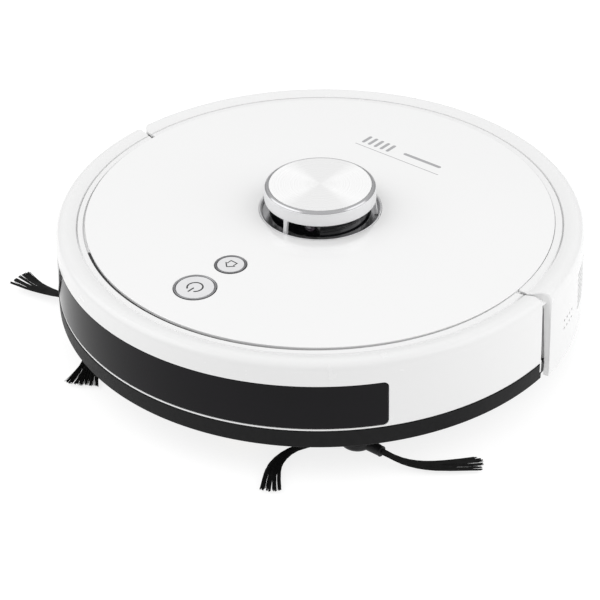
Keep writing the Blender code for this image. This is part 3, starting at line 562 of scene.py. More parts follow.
# The disc's two pale fans are a painted highlight of the lamps' sheen, with painted shade between them.
DISC = turned_metal("brushed_disc", (0.99, 0.99, 0.99), 0.27, LIDAR_XY, spread=0.03, anisotropic=0.93, lines=5200.0, depth=0.000004, metal=0.35, painted_highlight_fans=(0.80, 0.60)).m
BEVEL = turned_metal("cap_bevel", (0.48, 0.48, 0.49), 0.16, LIDAR_XY, spread=0.04, anisotropic=0.3).m
TURRET = Stuff("turret_plastic", (0.016, 0.016, 0.018), 0.30).mottle(50.0, 0.2).uneven_gloss(150.0, 0.08).relief(1500.0, 0.00003, 0.25).m
ROTOR = Stuff("rotor_plastic", (0.010, 0.010, 0.012), 0.12, Coat_Weight=0.6, Coat_Roughness=0.05).mottle(50.0, 0.2).uneven_gloss(90.0, 0.05).relief(400.0, 0.00001, 0.1).m
SHELF = Stuff("turret_shelf", (0.42, 0.42, 0.43), 0.13, 0.85).mottle(50.0, 0.2).uneven_gloss(150.0, 0.06).relief(900.0, 0.00002, 0.2).m
POST = Stuff("post_plastic", (0.74, 0.74, 0.75), 0.3).mottle(60.0, 0.05).uneven_gloss(200.0, 0.05).relief(1500.0, 0.00002, 0.2).m
LENS = Stuff("sensor_lens", (0.035, 0.010, 0.030), 0.04, Coat_Weight=1.0, Coat_Roughness=0.02, IOR=1.6).mottle(80.0, 0.5, (0.012, 0.006, 0.02)).uneven_gloss(60.0, 0.02).relief(300.0, 0.00001, 0.05).m
STEEL = Stuff("steel", (0.60, 0.60, 0.61), 0.30, 1.0).mottle(90.0, 0.12, stretch=(1.0, 30.0, 30.0)).uneven_gloss(120.0, 0.08, stretch=(1.0, 30.0, 30.0)).relief(900.0, 0.00001, 0.25, stretch=(1.0, 20.0, 20.0)).m
SCREW = Stuff("screw_steel", (0.30, 0.30, 0.31), 0.32, 1.0).mottle(400.0, 0.3).uneven_gloss(600.0, 0.1).relief(2000.0, 0.00002, 0.3).m
BUTTON = Stuff("button_face", (0.72, 0.72, 0.73), 0.36).mottle(200.0, 0.05).uneven_gloss(500.0, 0.05).relief(3000.0, 0.00003, 0.25).m
RING_P = turned_metal("power_ring_metal", (0.30, 0.30, 0.31), 0.28, POWER_XY, spread=0.06, anisotropic=0.6).m
RING_H = turned_metal("home_ring_metal", (0.22, 0.22, 0.23), 0.28, HOME_XY, spread=0.06, anisotropic=0.6).m
INK = Stuff("black_ink", (0.012, 0.012, 0.013), 0.35).mottle(500.0, 0.3).uneven_gloss(700.0, 0.1).relief(3000.0, 0.00001, 0.2).m
MARK = Stuff("grey_ink", (0.36, 0.36, 0.37), 0.22, Coat_Weight=0.8, Coat_Roughness=0.03).mottle(400.0, 0.1).uneven_gloss(300.0, 0.08).relief(2500.0, 0.00001, 0.15).m
BOARD = Stuff("circuit_board", (0.014, 0.12, 0.05), 0.38).mottle(70.0, 0.35, (0.006, 0.06, 0.025)).specks(330.0, (0.45, 0.36, 0.10), 0.62, 0.66, 0.7).uneven_gloss(300.0, 0.1).relief(700.0, 0.00006, 0.4).m
CHIP = Stuff("chip_plastic", (0.015, 0.015, 0.016), 0.4).mottle(200.0, 0.3).uneven_gloss(500.0, 0.1).relief(1500.0, 0.00004, 0.3).m
TIN = Stuff("tin", (0.66, 0.66, 0.64), 0.3, 1.0).mottle(300.0, 0.2).uneven_gloss(400.0, 0.12).relief(1500.0, 0.00003, 0.3).m
RUBBER = Stuff("tyre_rubber", (0.020, 0.020, 0.020), 0.80).mottle(90.0, 0.3, (0.034, 0.032, 0.030)).specks(1300.0, (0.075, 0.07, 0.065), 0.62, 0.75, 0.5).uneven_gloss(300.0, 0.1).relief(1600.0, 0.00012, 0.45).m
BELT = Stuff("belt_rubber", (0.022, 0.022, 0.022), 0.7).mottle(200.0, 0.3).uneven_gloss(300.0, 0.1).relief(1500.0, 0.00008, 0.4).m
BRISTLE = Stuff("nylon_bristle", (0.004, 0.004, 0.004), 0.55, Specular_IOR_Level=0.15).mottle(120.0, 0.3, (0.009, 0.009, 0.009)).uneven_gloss(200.0, 0.12).relief(2600.0, 0.00002, 0.2).m
HUB = Stuff("hub_plastic", (0.060, 0.060, 0.063), 0.45).mottle(80.0, 0.15).uneven_gloss(200.0, 0.07).relief(1800.0, 0.00005, 0.3).edges((0.16, 0.16, 0.16), amount=0.4).m
SLEEVE = Stuff("sleeve_rubber", (0.010, 0.010, 0.011), 0.5, Specular_IOR_Level=0.25).mottle(120.0, 0.25).uneven_gloss(240.0, 0.08).relief(1900.0, 0.00004, 0.3).m
BATTERY = Stuff("battery_wrap", (0.03, 0.06, 0.20), 0.30, Coat_Weight=0.4, Coat_Roughness=0.1).mottle(25.0, 0.25, (0.02, 0.045, 0.15)).uneven_gloss(60.0, 0.1).relief(120.0, 0.0004, 0.35, stretch=(1.0, 0.3, 1.0)).m
BIN = Stuff("bin_plastic", (0.13, 0.13, 0.14), 0.22, Coat_Weight=0.3, Coat_Roughness=0.08).mottle(30.0, 0.12).uneven_gloss(80.0, 0.07).relief(1000.0, 0.00003, 0.15).m
FILTER = Stuff("filter_paper", (0.80, 0.79, 0.74), 0.9).mottle(300.0, 0.08).specks(1500.0, (0.55, 0.53, 0.48), 0.6, 0.75, 0.6).uneven_gloss(500.0, 0.05).relief(2400.0, 0.0002, 0.6).m
BRASS = Stuff("contact_brass", (0.80, 0.62, 0.32), 0.24, 1.0).mottle(150.0, 0.15, (0.62, 0.45, 0.22)).uneven_gloss(300.0, 0.1, stretch=(20.0, 1.0, 1.0)).relief(900.0, 0.00002, 0.3, stretch=(20.0, 1.0, 1.0)).m
BLADE = Stuff("blade_rubber", (0.22, 0.045, 0.025), 0.62).mottle(90.0, 0.25, (0.15, 0.03, 0.018)).uneven_gloss(200.0, 0.1).relief(1500.0, 0.00008, 0.35).m


# ---------------------------------------------------------------- small shapes used in several places
def screw_head(x, y, z, r, down=True, turn=20.0):
    """A countersunk head with a cross recess. Its flat face looks down, or up."""
    head = lathe(fillet([(0.0, -1.2), (r * 0.62, -1.2), (r, -0.25), (r, 0.0), (0.0, 0.0)], 0.12, 2), 36)
    shape = Made("screw", head)
    a = r * 0.62
    cross = [block(-a, a, -0.28, 0.28, -0.7, 0.5), block(-0.28, 0.28, -a, a, -0.71, 0.51)]
    shape.cut(cross[0]).cut(cross[1])
    out = bmesh.new()
    out.from_mesh(shape.obj.data)
    bmesh.ops.scale(out, vec=(1000.0, 1000.0, 1000.0), verts=out.verts[:])
    data = shape.obj.data
    bpy.data.objects.remove(shape.obj)
    bpy.data.meshes.remove(data)
    spin = Matrix.Rotation(math.radians(turn), 4, "Z")
    flip = Matrix.Rotation(math.pi, 4, "X") if down else Matrix.Identity(4)
    return carried(out, Matrix.Translation((x, y, z)) @ flip @ spin)


def arch_outline(half, y_mid, z_mid, foot, n=24):
    pts = [(y_mid + half, foot)]
    pts += [(y_mid + half * math.cos(math.pi * i / n), z_mid + half * math.sin(math.pi * i / n)) for i in range(n + 1)]
    pts.append((y_mid - half, foot))
    return pts


def arch(half, y_mid, z_mid, foot, x0, x1, edge=0.0):
    section = arch_outline(half, y_mid, z_mid, foot)
    return soften(loft([[Vector((x, y, z)) for y, z in section] for x in (x0, x1)]), edge)


def radial_rod(r, degrees, z, r0, r1, n=16):
    """A rod that points out from the machine's axis, at one height."""
    bm = disc(r, r0, r1, n)
    return carried(bm, Matrix.Rotation(math.radians(degrees), 4, "Z") @ Matrix.Translation((0, 0, z)) @ Matrix.Rotation(math.radians(90.0), 4, "Y"))


def lerp(points, t):
    n = len(points) - 1
    i = min(int(t * n), n - 1)
    f = t * n - i
    p = [Vector(points[min(max(k, 0), n)]) for k in (i - 1, i, i + 1, i + 2)]
    return 0.5 * (2 * p[1] + (p[2] - p[0]) * f + (2 * p[0] - 5 * p[1] + 4 * p[2] - p[3]) * f * f + (3 * p[1] - p[0] - 3 * p[2] + p[3]) * f ** 3)


def strand(verts, faces, points, radius, sides=4, tip=0.55):
    """One bristle, as a thin closed tube through the points."""
    base = len(verts)
    n = len(points)
    for i, p in enumerate(points):
        a, b = points[max(i - 1, 0)], points[min(i + 1, n - 1)]
        d = (b - a).normalized()
        u = d.cross(Vector((0, 0, 1)))
        u = u.normalized() if u.length > 1e-6 else Vector((1, 0, 0))
        v = d.cross(u)
        r = radius * (1.0 - (1.0 - tip) * (i / (n - 1)) ** 2)
        for k in range(sides):
            t = 2 * math.pi * k / sides
            verts.append(p + (u * math.cos(t) + v * math.sin(t)) * r)
    for i in range(n - 1):
        for k in range(sides):
            a, b = base + i * sides + k, base + i * sides + (k + 1) % sides
            faces.append((a, b, b + sides, a + sides))
    faces.append(tuple(base + k for k in reversed(range(sides))))
    faces.append(tuple(base + (n - 1) * sides + k for k in range(sides)))


def mesh_of(verts, faces):
    bm = bmesh.new()
    vs = [bm.verts.new(v) for v in verts]
    for f in faces:
        bm.faces.new([vs[i] for i in f])
    return bm


# ---------------------------------------------------------------- chassis
wheel_y, wheel_z = WHEEL_YZ
pivot_y, pivot_z = PIVOT_YZ
hx, hy = SIDE_HUB
cx, cy = CASTER_XY
ry, rz = ROLLER_YZ
lx, ly = LIDAR_XY

floor_profile = fillet([
    (0.0, UNDERSIDE_Z), (147.0, UNDERSIDE_Z, 3.0), (153.0, 15.0, 3.0), (157.6, 20.0, 3.0), (158.2, 34.0, 0.4),
    (155.7, 34.0, 0.4), (155.0, 21.4, 1.0), (146.0, UNDERSIDE_Z + FLOOR_T, 1.0), (0.0, UNDERSIDE_Z + FLOOR_T),
], 0.4)
rear_rim = fillet([
    (144.0, 13.5), (155.0, 14.6, 2.0), (161.4, 18.6, 2.5), (163.6, 23.0, 1.0), (163.6, 30.0, 0.4), (156.8, 30.0), (156.4, 22.0), (144.0, 15.0),
], 0.3)
chassis = Made("v_base_chassis", lathe(floor_profile, ROUND))
chassis.add(lathe(rear_rim, 88, SLOT_FOOT_DEG, 180.0 - SLOT_FOOT_DEG))
chassis.add(
    both(lambda: arch(38.4, wheel_y, wheel_z - 0.6, 14.2, 103.6, 128.4, 0.5)),
    both(lambda: block(86.0, 89.6, pivot_y - 4.5, pivot_y + 4.5, 14.2, 29.5, 0.5)),
    both(lambda: disc(8.2, 14.2, 19.3, 48, SIDE_HUB, edge=0.3)),
    disc(21.5, 13.6, 34.0, 64, CASTER_XY, edge=0.4),
)
# Moulded skids beside the brush and ribs at the front.
skids = []
for side in (1.0, -1.0):
    skids += [
        mirrored(pad(60.0, 66.0, -142.0 + 14.0, -104.0, 12.3, 14.0, 2.9, 0.35), side),
        mirrored(pad(74.0, 78.0, -126.0, -104.0, 12.3, 14.0, 1.9, 0.35), side),
        mirrored(pad(80.0, 84.0, 66.0, 104.0, 12.3, 14.0, 1.9, 0.35), side),
    ]
chassis.add(*skids)
chassis.cut(
    both(lambda: arch(36.8, wheel_y, wheel_z - 0.6, 10.0, 100.0, 126.8)),
    both(lambda: disc(5.0, 10.0, 22.0, 40, SIDE_HUB)),
    disc(19.6, 10.0, 31.6, 64, CASTER_XY),
    block(-88.6, 88.6, 4.6, 55.4, 10.0, 18.0),
    block(-75.0, 75.0, -97.0, -27.0, 10.0, 18.0),
    both(lambda: block(34.7, 57.3, -133.3, -124.7, 10.0, 14.2)),
    both(lambda: block(133.7, 142.3, -44.3, -25.7, 10.0, 14.2)),
)
SCREWS = [(110.0, 92.0), (84.0, -116.0), (109.0, -52.0), (97.0, 63.0), (30.0, -106.0)]
label = pad(-34.0, 34.0, 70.0, 98.0, 12.0, 13.35, 3.0, 0.0)
chassis.cut(
    both(lambda: block(90.4, 104.4, pivot_y - 7.0, 46.0, 10.0, 16.0)),
    both(lambda: rod_x(2.8, 84.0, 92.0, pivot_y, pivot_z, 24)),
    disc(4.6, 30.0, 36.0, 32, CASTER_XY),
    block(BIN_X[0] - 1.2, BIN_X[1] + 1.2, 110.0, 172.0, 16.2, 40.0),
    block(98.0, 172.0, 80.0, 112.0, 18.5, 40.0),
    label,
    *[disc(3.9, 10.0, 14.3, 40, (s * x, y)) for x, y in SCREWS[:1] + SCREWS[1:3] + SCREWS[4:] for s in (1.0, -1.0)],
)
chassis.cut(*[lathe([(129.0, 11.0), (130.2, 11.0), (130.2, 13.5), (129.0, 13.5)], 24, a, b) for a, b in ((222.0, 238.0), (302.0, 318.0), (112.0, 134.0), (46.0, 68.0))])
show("v_base_chassis", chassis, CHASSIS, "base_chassis")
show("v_floor_screws", joined(*[screw_head(s * x, y, 13.3, 3.2, turn=17.0 * i + 31.0 * s) for i, (x, y) in enumerate(SCREWS[:1] + SCREWS[1:3] + SCREWS[4:]) for s in (1.0, -1.0)]), SCREW, body="main_body")

# ---------------------------------------------------------------- inner frame
inner = Made("v_mid_frame", lathe(fillet([(155.9, 34.4), (158.2, 34.4), (158.2, 71.0), (157.0, 73.1), (141.0, 73.1), (141.0, 71.6), (155.9, 71.6)], 0.3, 2), ROUND))
inner.cut(block(BIN_X[0] - 1.2, BIN_X[1] + 1.2, 120.0, 170.0, 30.0, 64.4), block(96.0, 170.0, 72.0, 128.0, 30.0, 66.0))
show("v_mid_frame", inner, FRAME, "mid_frame")

# ---------------------------------------------------------------- white rear shell and deck
# The rim: a flat inner ring, a fine V groove, then one soft bulge that runs down into the side wall.
bulge = flowing([(151.6, 77.12), (154.2, 78.15), (157.4, 78.9), (160.2, 78.8), (162.5, 77.4), (163.75, 74.9), (164.2, 71.5), (164.5, 66.0), (164.8, 61.0), (165.5, 50.0)], 5)
top_edge = [(LIP_R + 0.2, LIP_Z, 0.3), (150.35, 77.1, 0.1), (150.8, 75.4, 0.0), (151.2, 75.4, 0.0)] + bulge
shell_profile = fillet([(PLATE_R + 0.3, LIP_Z + 0.2, 0.3)] + top_edge[1:] + [
    (shell_r(40.0), 40.0, 0.0), (shell_r(32.0), 32.0, 20.0), (BODY_R, 24.0, 6.0), (BODY_R, SHELL_FOOT_Z, 0.9),
    (164.5, SHELL_FOOT_Z, 0.5), (164.3, 32.0, 5.0), (162.0, 68.0, 4.0), (159.6, 73.9, 1.0),
    (138.0, 73.9, 0.2), (138.0, 75.3, 0.2), (PLATE_R + 0.3, 75.3, 0.2),
], 0.3, 4)


def slanted(p, r):
    """Carries the shell's ends back as the radius grows, so that the slot beside the bumper widens outwards."""
    a = math.degrees(math.atan2(p.y, p.x))
    if 150.25 < r < 151.55 and p.z > 75.0:
        p = Vector((p.x, p.y, 77.11 + (p.z - 77.11) * min(max((a - 6.0) / 20.0, 0.15), 1.0)))
    near = min(a - SHELL_TOP_DEG, 180.0 - SHELL_TOP_DEG - a)
    if near > 5.0:
        return p
    share = min(max((r - 155.5) / 8.5, 0.0), 1.0)
    back = (SHELL_START_DEG - SHELL_TOP_DEG) * share * (1.0 - near / 5.0)
    return polar(p.to_2d().length, a + back if a < 90.0 else a - back, p.z)


cover = Made("v_top_cover", lathe(shell_profile, 140, SHELL_TOP_DEG, 180.0 - SHELL_TOP_DEG, ends=1.0, move=slanted))
# Under the bumper's lip the deck runs on as a low white ledge, and a recessed wall closes each end of the shell.
ledge = fillet([(141.5, 73.3), (157.0, 73.3), (157.0, 74.2), (141.5, 74.2)], 0.25, 2)
tongue = fillet([(150.0, 73.25), (158.4, 73.25), (161.2, 71.2), (162.0, 72.0), (159.2, 74.2), (150.0, 74.2)], 0.25, 2)
end_wall = fillet([(158.7, 31.0), (165.1, 31.0, 0.6), (163.3, 72.0, 1.0), (161.5, 75.2, 1.0), (158.7, 75.2)], 0.3, 3)
cover.add(
    disc(145.2, DECK_Z[0], DECK_Z[1], ROUND),
    lathe(end_wall, 2, SHELL_START_DEG + 0.15, SHELL_START_DEG + 1.15),
    lathe(end_wall, 2, 180.0 - SHELL_START_DEG - 1.15, 180.0 - SHELL_START_DEG - 0.15),
)
cover.add(lathe(ledge, 140, -4.0, 238.0))
cover.add(lathe(fillet([(145.0, 73.4), (147.6, 73.4), (147.6, 76.0), (145.0, 76.0)], 0.15, 2), 46, 178.0, 238.0))
cover.add(lathe(fillet([(145.0, 73.4), (147.6, 73.4), (147.6, 76.0), (145.0, 76.0)], 0.15, 2), 6, -4.0, 2.2))
cover.add(
    lathe(tongue, 8, -1.2, SHELL_START_DEG + 0.6),
    lathe(tongue, 8, 180.0 - SHELL_START_DEG - 0.6, 181.2),
    *[disc(2.2, 67.0, 74.6, 24, (x, y)) for x in (-14.0, 14.0) for y in (-122.0, -74.0)],
)
cover.cut(
    disc(LIDAR_WELL_R + 0.1, 70.0, 80.0, 128, LIDAR_XY),
    disc(4.8, 70.0, 80.0, 40, POWER_XY),
    disc(4.8, 70.0, 80.0, 40, HOME_XY),
    bent_panel(BIN_PANEL_DEG[0] - 0.15, BIN_PANEL_DEG[1] + 0.15, 14.0, BIN_PANEL_Z[1] + GAP, BIN_PANEL_CORNER + GAP, 8.0, 4.0, 48),
)
cover.cut(block(BIN_X[0] - 0.6, BIN_X[1] + 0.6, 120.0, 175.0, 14.0, 62.7))
slots = []
for row in range(7):
    z = 39.5 + 3.85 * row
    for column in range(5):
        a = 19.8 + 6.6 * column
        slots.append(bent_panel(a, a + 5.6, z - 0.95, z + 0.95, 0.9, 8.5, 3.0, 6, n=5))
for z in (42.5, 48.0):
    for column in range(4):
        slots.append(radial_rod(0.85, 10.5 + 1.5 * column, z, 157.0, 170.0))
cover.cut(*slots)
show("v_top_cover", cover, WHITE, "top_cover")

# ---------------------------------------------------------------- glossy top plate
plate = Made("v_top_plate", lathe(fillet([(0.0, PLATE_Z[0]), (PLATE_R + 0.1, PLATE_Z[0], 0.2), (PLATE_R + 0.1, PLATE_Z[1], 0.45), (0.0, PLATE_Z[1])], 0.2, 4), ROUND))


def flared(r, at, n):
    """A hole cutter whose top edge opens out a little."""
    return lathe([(0.0, 70.0), (r, 70.0), (r, 77.65), (r + 0.12, 77.85), (r + 0.5, 78.05), (r + 0.5, 82.0), (0.0, 82.0)], n, at=at)


plate.cut(flared(LIDAR_WELL_R + 0.1, LIDAR_XY, 160), flared(POWER_R + GAP, POWER_XY, 96), flared(HOME_R + GAP, HOME_XY, 96))
show("v_top_plate", plate, PLATE, "top_plate")


# Printed marks: a thin line with plain bars behind the turret.
def ink(x0, x1, y0, y1, r=0.15):
    return prism(rounded_rect(x0, x1, y0, y1, r, 3), 77.99, 78.015)


marks = [ink(-34.0, 34.0, 79.0, 79.6)]
for k in range(5):
    marks.append(ink(-32.0 + 5.0 * k, -29.6 + 5.0 * k, 83.0, 93.0, 1.1))
marks.append(ink(0.0, 30.0, 86.6, 89.2, 1.2))
show("v_plate_marks", joined(*marks), MARK, body="main_body")


# ---------------------------------------------------------------- bumper
def lip_ahead(p, r):
    """Moves the flat ring inside the groove ahead, so that its gap is widest at the front, and fills the V groove towards the front."""
    if r > 151.55:
        return p
    share = min(1.0, max(0.0, (150.4 - r) / (150.4 - LIP_R - 0.3)))
    z = p.z
    if r > 150.25 and z > 75.0:
        a = math.degrees(math.atan2(p.y, p.x)) % 360.0
        open_left = min(max((246.0 - a) / 18.0, 0.3), 1.0)
        open_right = min(max((a - 357.0) / 3.0, 0.0), 1.0) if a > 300.0 else 0.0
        z = 77.11 + (z - 77.11) * max(open_left, open_right)
    return Vector((p.x, p.y - GROOVE_SHIFT * share, z))


bumper_profile = fillet([(LIP_R, LIP_Z, 0.3)] + top_edge[1:] + [
    (shell_r(42.0), 42.0, 0.0), (shell_r(35.5), 35.5, 0.5),
    (163.4, 35.5, 0.3), (161.2, 69.0, 4.0), (159.0, 74.6, 1.0), (149.6, 74.6, 0.3), (149.6, 76.3, 0.2), (LIP_R, 76.3, 0.15),
], 0.3, 4)
bumper = Made("v_bumper", lathe(bumper_profile, 150, 180.0 - BUMPER_END_DEG, 360.0 + BUMPER_END_DEG, move=lip_ahead, ends=0.9))
# A thin white flange runs down over each end of the dark strip.
flange = fillet([(164.3, 28.6), (166.45, 28.6, 0.4), (166.3, 37.0), (164.3, 37.0)], 0.2, 3)
bumper.add(lathe(flange, 2, -0.05, 0.46), lathe(flange, 2, 179.54, 180.05))
w0, w1 = 270.0 - WINDOW_HALF_DEG, 270.0 + WINDOW_HALF_DEG
bumper.cut(bent_panel(w0 - 0.11, w1 + 0.11, WINDOW_Z[0] - GAP, WINDOW_Z[1] + GAP, WINDOW_CORNER + GAP, 1.6, 4.0, 96))
show("v_bumper", bumper, WHITE, "bumper")
show("v_bumper_window", bent_panel(w0, w1, WINDOW_Z[0], WINDOW_Z[1], WINDOW_CORNER, 1.3, 0.0, 96, lip=0.3), SMOKED, "bumper_window")
strip_profile = fillet([(163.2, STRIP_Z[0] + 0.6), (163.8, STRIP_Z[0]), (166.3, STRIP_Z[0], 0.5), (BODY_R, STRIP_Z[0] + 0.6, 0.6), (shell_r(35.2) + 0.3, STRIP_Z[1], 0.5), (163.2, STRIP_Z[1])], 0.2, 3)
strip = Made("v_bumper_strip", lathe(strip_profile, 120, 180.0 - BUMPER_END_DEG, 360.0 + BUMPER_END_DEG, ends=0.5, tuck=lambda r, z, d: tucked(r, z, d, 163.6, 165.2)))
strip.cut(both(lambda: block(158.0, 172.0, -0.45, 12.0, 28.3, 40.0)))
show("v_bumper_strip", strip, STRIP, "bumper_strip")

# A dark strip lies in the groove ahead of the plate, under the bumper's lip: painted shade that makes the groove read
# dark.
show("v_groove_painted_shade", lathe(fillet([(146.0, 74.5), (147.7, 74.5), (147.7, 76.0), (146.0, 76.0)], 0.15, 2), 110, 238.6, 355.4), CHIP, body="main_body")

# ---------------------------------------------------------------- laser turret
turret_steps = 160
base = Made("v_lidar_base", lathe(fillet([(7.4, 58.0), (33.0, 58.0), (33.0, 74.4), (37.7, 74.4), (37.7, 77.0, 0.3), (36.9, 77.0, 0.6), (36.2, 75.9, 0.9), (31.5, 75.9, 0.5), (31.5, 60.0), (7.4, 60.0)], 0.3, 4), turret_steps, at=LIDAR_XY))
show("v_lidar_base", base, SHELF, "lidar_base")
show("v_well_rim", lathe(fillet([(37.3, 74.6), (38.1, 74.6), (38.35, 77.9, 0.2), (38.1, 78.2, 0.25), (37.3, 77.8, 0.3)], 0.15, 4), turret_steps, at=LIDAR_XY), POST, body="main_body")
cap = Made("v_lidar_cap", lathe(fillet([(0.0, 91.6), (31.4, 91.6), (32.9, 90.2), (32.9, LIDAR_CAP_Z[0], 0.3), (LIDAR_CAP_R, LIDAR_CAP_Z[0], 0.7), (34.85, 92.0, 3.0), (34.6, 93.3, 0.5), (33.2, 93.9, 0.2), (31.9, 93.9, 0.1), (31.9, 93.2, 0.1), (0.0, 93.2)], 0.3, 4), turret_steps, at=LIDAR_XY))
show("v_lidar_cap", cap, CAP_SIDE, "lidar_cap")
# A dark turned bevel runs between the cap's side and its disc.
show("v_cap_bevel", lathe(fillet([(32.25, 93.6), (34.35, 93.3), (34.45, 93.75, 0.15), (33.5, 94.55, 0.8), (32.35, 94.95, 0.12), (32.25, 94.8, 0.05)], 0.1, 4), turret_steps, at=LIDAR_XY), BEVEL, body="main_body")
posts = []
for degrees in LIDAR_POSTS_DEG:
    rings = []
    for r, z, w in ((34.2, 76.2, 1.4), (34.0, 77.6, 1.3), (33.5, 81.6, 1.25), (33.0, 85.0, 1.6), (32.8, 87.0, 2.4)):
        rings.append([Vector((r + x, y, z)) for x, y in fillet([(0.0, -w), (1.9, -w), (1.9, w), (0.0, w)], 0.4, 3)])
    posts.append(carried(loft(rings), Matrix.Translation((lx, ly, 0.0)) @ Matrix.Rotation(math.radians(degrees), 4, "Z")))
show("v_lidar_posts", joined(*posts), POST, body="main_body")
show("v_lidar_top_disc", lathe(fillet([(0.0, 93.5), (32.0, 93.5, 0.2), (32.0, LIDAR_TOP_Z, 0.2), (0.0, LIDAR_TOP_Z)], 0.1, 4), turret_steps, at=LIDAR_XY), DISC, "lidar_top_disc")
rotor = Made("v_lidar_rotor", lathe(fillet([(0.0, 51.8), (20.0, 51.8), (18.8, 54.0, 0.3), (20.0, 56.2), (7.0, 56.2), (7.0, 61.6), (30.6, 61.6, 0.6), (30.6, 79.4, 0.3), (30.0, 79.8, 0.2), (30.0, 80.6, 0.2), (30.6, 81.0, 0.3), (30.6, 88.6, 1.2), (0.0, 88.6)], 0.3), turret_steps, at=LIDAR_XY))
rotor.cut(block(-20.0, 20.0, ly - 34.0, ly - 23.5, 70.0, 86.6, 0.8))
show("v_lidar_rotor", rotor, ROTOR, "lidar_rotor")
for name, x, r in (("lidar_lens_emitter", 12.0, 4.2), ("lidar_lens_receiver", -9.0, 4.9)):
    dome = lathe(fillet([(0.0, 0.0), (r, 0.0), (r, 1.5, 0.3), (r * 0.86, 1.9, 0.3), (r * 0.8, 1.7, 0.1), (r * 0.55, 2.35, 2.0), (0.0, 2.7)], 0.15, 4), 64)
    show("v_" + name, carried(dome, Matrix.Translation((x, ly - 23.8, 81.4)) @ Matrix.Rotation(math.radians(90.0), 4, "X")), LENS, name)
motor_xy = (56.0, 1.0)
spin_motor = Made("v_lidar_motor", lathe(fillet([(0.0, 51.4), (1.2, 51.4), (1.2, 57.0), (3.2, 57.0), (3.2, 57.6), (9.8, 57.6, 0.8), (9.8, 71.0, 1.4), (4.0, 71.0), (3.4, 71.8), (0.0, 71.8)], 0.2), 64, at=motor_xy))
spin_motor.cut(*[disc(0.9, 70.0, 74.0, 20, (motor_xy[0] + 6.5 * math.cos(a), motor_xy[1] + 6.5 * math.sin(a))) for a in (0.5, 2.6, 4.7)])
show("v_lidar_motor", spin_motor, STEEL, "lidar_motor")
show("v_lidar_pulley", lathe(fillet([(1.5, 51.8), (4.8, 51.8, 0.3), (4.2, 54.0, 0.4), (4.8, 56.2, 0.3), (1.5, 56.2)], 0.1), 48, at=motor_xy), HUB, "lidar_pulley")


def belt_loop(big, small, n=48):
    (xa, ra), (xb, rb) = big, small
    lean = math.asin((ra - rb) / (xb - xa))
    pts = [(xa + ra * math.cos(t), ly + ra * math.sin(t)) for t in (math.pi / 2 - lean + (math.pi + 2 * lean) * i / n for i in range(n + 1))]
    pts += [(xb + rb * math.cos(t), ly + rb * math.sin(t)) for t in (-math.pi / 2 + lean + (math.pi - 2 * lean) * i / 16 for i in range(17))]
    return pts


section = fillet([(0.0, 53.4), (1.2, 53.4), (1.2, 54.6), (0.0, 54.6)], 0.45, 3)
belt_rings = [[Vector((x, y, z)) for x, y in belt_loop((lx, 20.4 + grow), (motor_xy[0], 5.4 + grow))] for grow, z in section]
show("v_lidar_belt", loft(belt_rings, closed=True), BELT, "lidar_belt")

# ---------------------------------------------------------------- buttons and their icons
def stroke(points, width, z0=78.19, z1=78.235):
    """A flat inked line through the points, with square joints softened."""
    left, right = [], []
    n = len(points)
    for i, p in enumerate(points):
        p = Vector(p)
        a, b = Vector(points[max(i - 1, 0)]), Vector(points[min(i + 1, n - 1)])
        u = (p - a).normalized() if i else (b - p).normalized()
        v = (b - p).normalized() if i < n - 1 else u
        m = Vector((-(u.y + v.y), u.x + v.x))
        m = m.normalized() * (width / 2) / max(math.cos(u.angle(v, 0.0) / 2), 0.4)
        left.append(p + m)
        right.append(p - m)
    outline = [tuple(q) for q in left] + [tuple(q) for q in reversed(right)]
    return prism(outline, z0, z1)


for name, (x, y), r, metal in (("power", POWER_XY, POWER_R, RING_P), ("home", HOME_XY, HOME_R, RING_H)):
    show("v_%s_ring" % name, lathe(fillet([(r - 1.1, 76.0), (r, 76.0), (r, 78.35, 0.35), (r - 0.45, 78.45, 0.3), (r - 1.1, 78.15, 0.3)], 0.2, 4), 128, at=(x, y)), metal, name + "_ring")
    head = r - 1.35
    show("v_%s_button" % name, lathe(fillet([(0.0, 68.8), (4.2, 68.8), (4.2, 76.4), (head, 76.4), (head, 78.2, 0.55), (0.0, 78.2)], 0.25, 4), 112, at=(x, y)), BUTTON, name + "_button")
px, py = POWER_XY
arc = [(px + 4.6 * math.cos(math.radians(a)), py + 4.6 * math.sin(math.radians(a))) for a in range(-58, 239, 8)]
show("v_power_icon", joined(stroke(arc, 0.95), prism(rounded_rect(px - 0.48, px + 0.48, py - 6.0, py - 0.9, 0.3, 3), 78.19, 78.235)), INK, body="power_button")
qx, qy = HOME_XY
house = [(qx - 3.6, qy - 0.2), (qx, qy - 3.5), (qx + 3.6, qy - 0.2)]
walls = [(qx - 2.4, qy - 0.4), (qx - 2.4, qy + 3.0), (qx + 2.4, qy + 3.0), (qx + 2.4, qy - 0.4)]
show("v_home_icon", joined(stroke(house, 0.75), stroke(walls, 0.7)), INK, body="home_button")
keys = Made("v_button_board", pad(-17.0, 17.0, -126.0, -70.0, 65.2, 66.7, 2.0, 0.12))
keys.cut(*[disc(1.5, 60.0, 70.0, 24, (x, y)) for x in (-14.0, 14.0) for y in (-122.5, -73.5)])
show("v_button_board", keys, BOARD, "button_board")
show("v_button_switches", joined(*[joined(pad(x - 3.0, x + 3.0, y - 3.0, y + 3.0, 66.7, 67.7, 0.5, 0.15), disc(1.7, 67.6, 67.82, 32, (x, y), edge=0.05)) for x, y in (POWER_XY, HOME_XY)], *[block(x - 1.2, x + 1.2, y - 0.7, y + 0.7, 66.7, 67.5, 0.12) for x, y in ((-10.0, -100.0), (-6.0, -96.0), (9.0, -98.0), (10.0, -92.0), (-10.0, -90.0))]), CHIP, body="main_body")

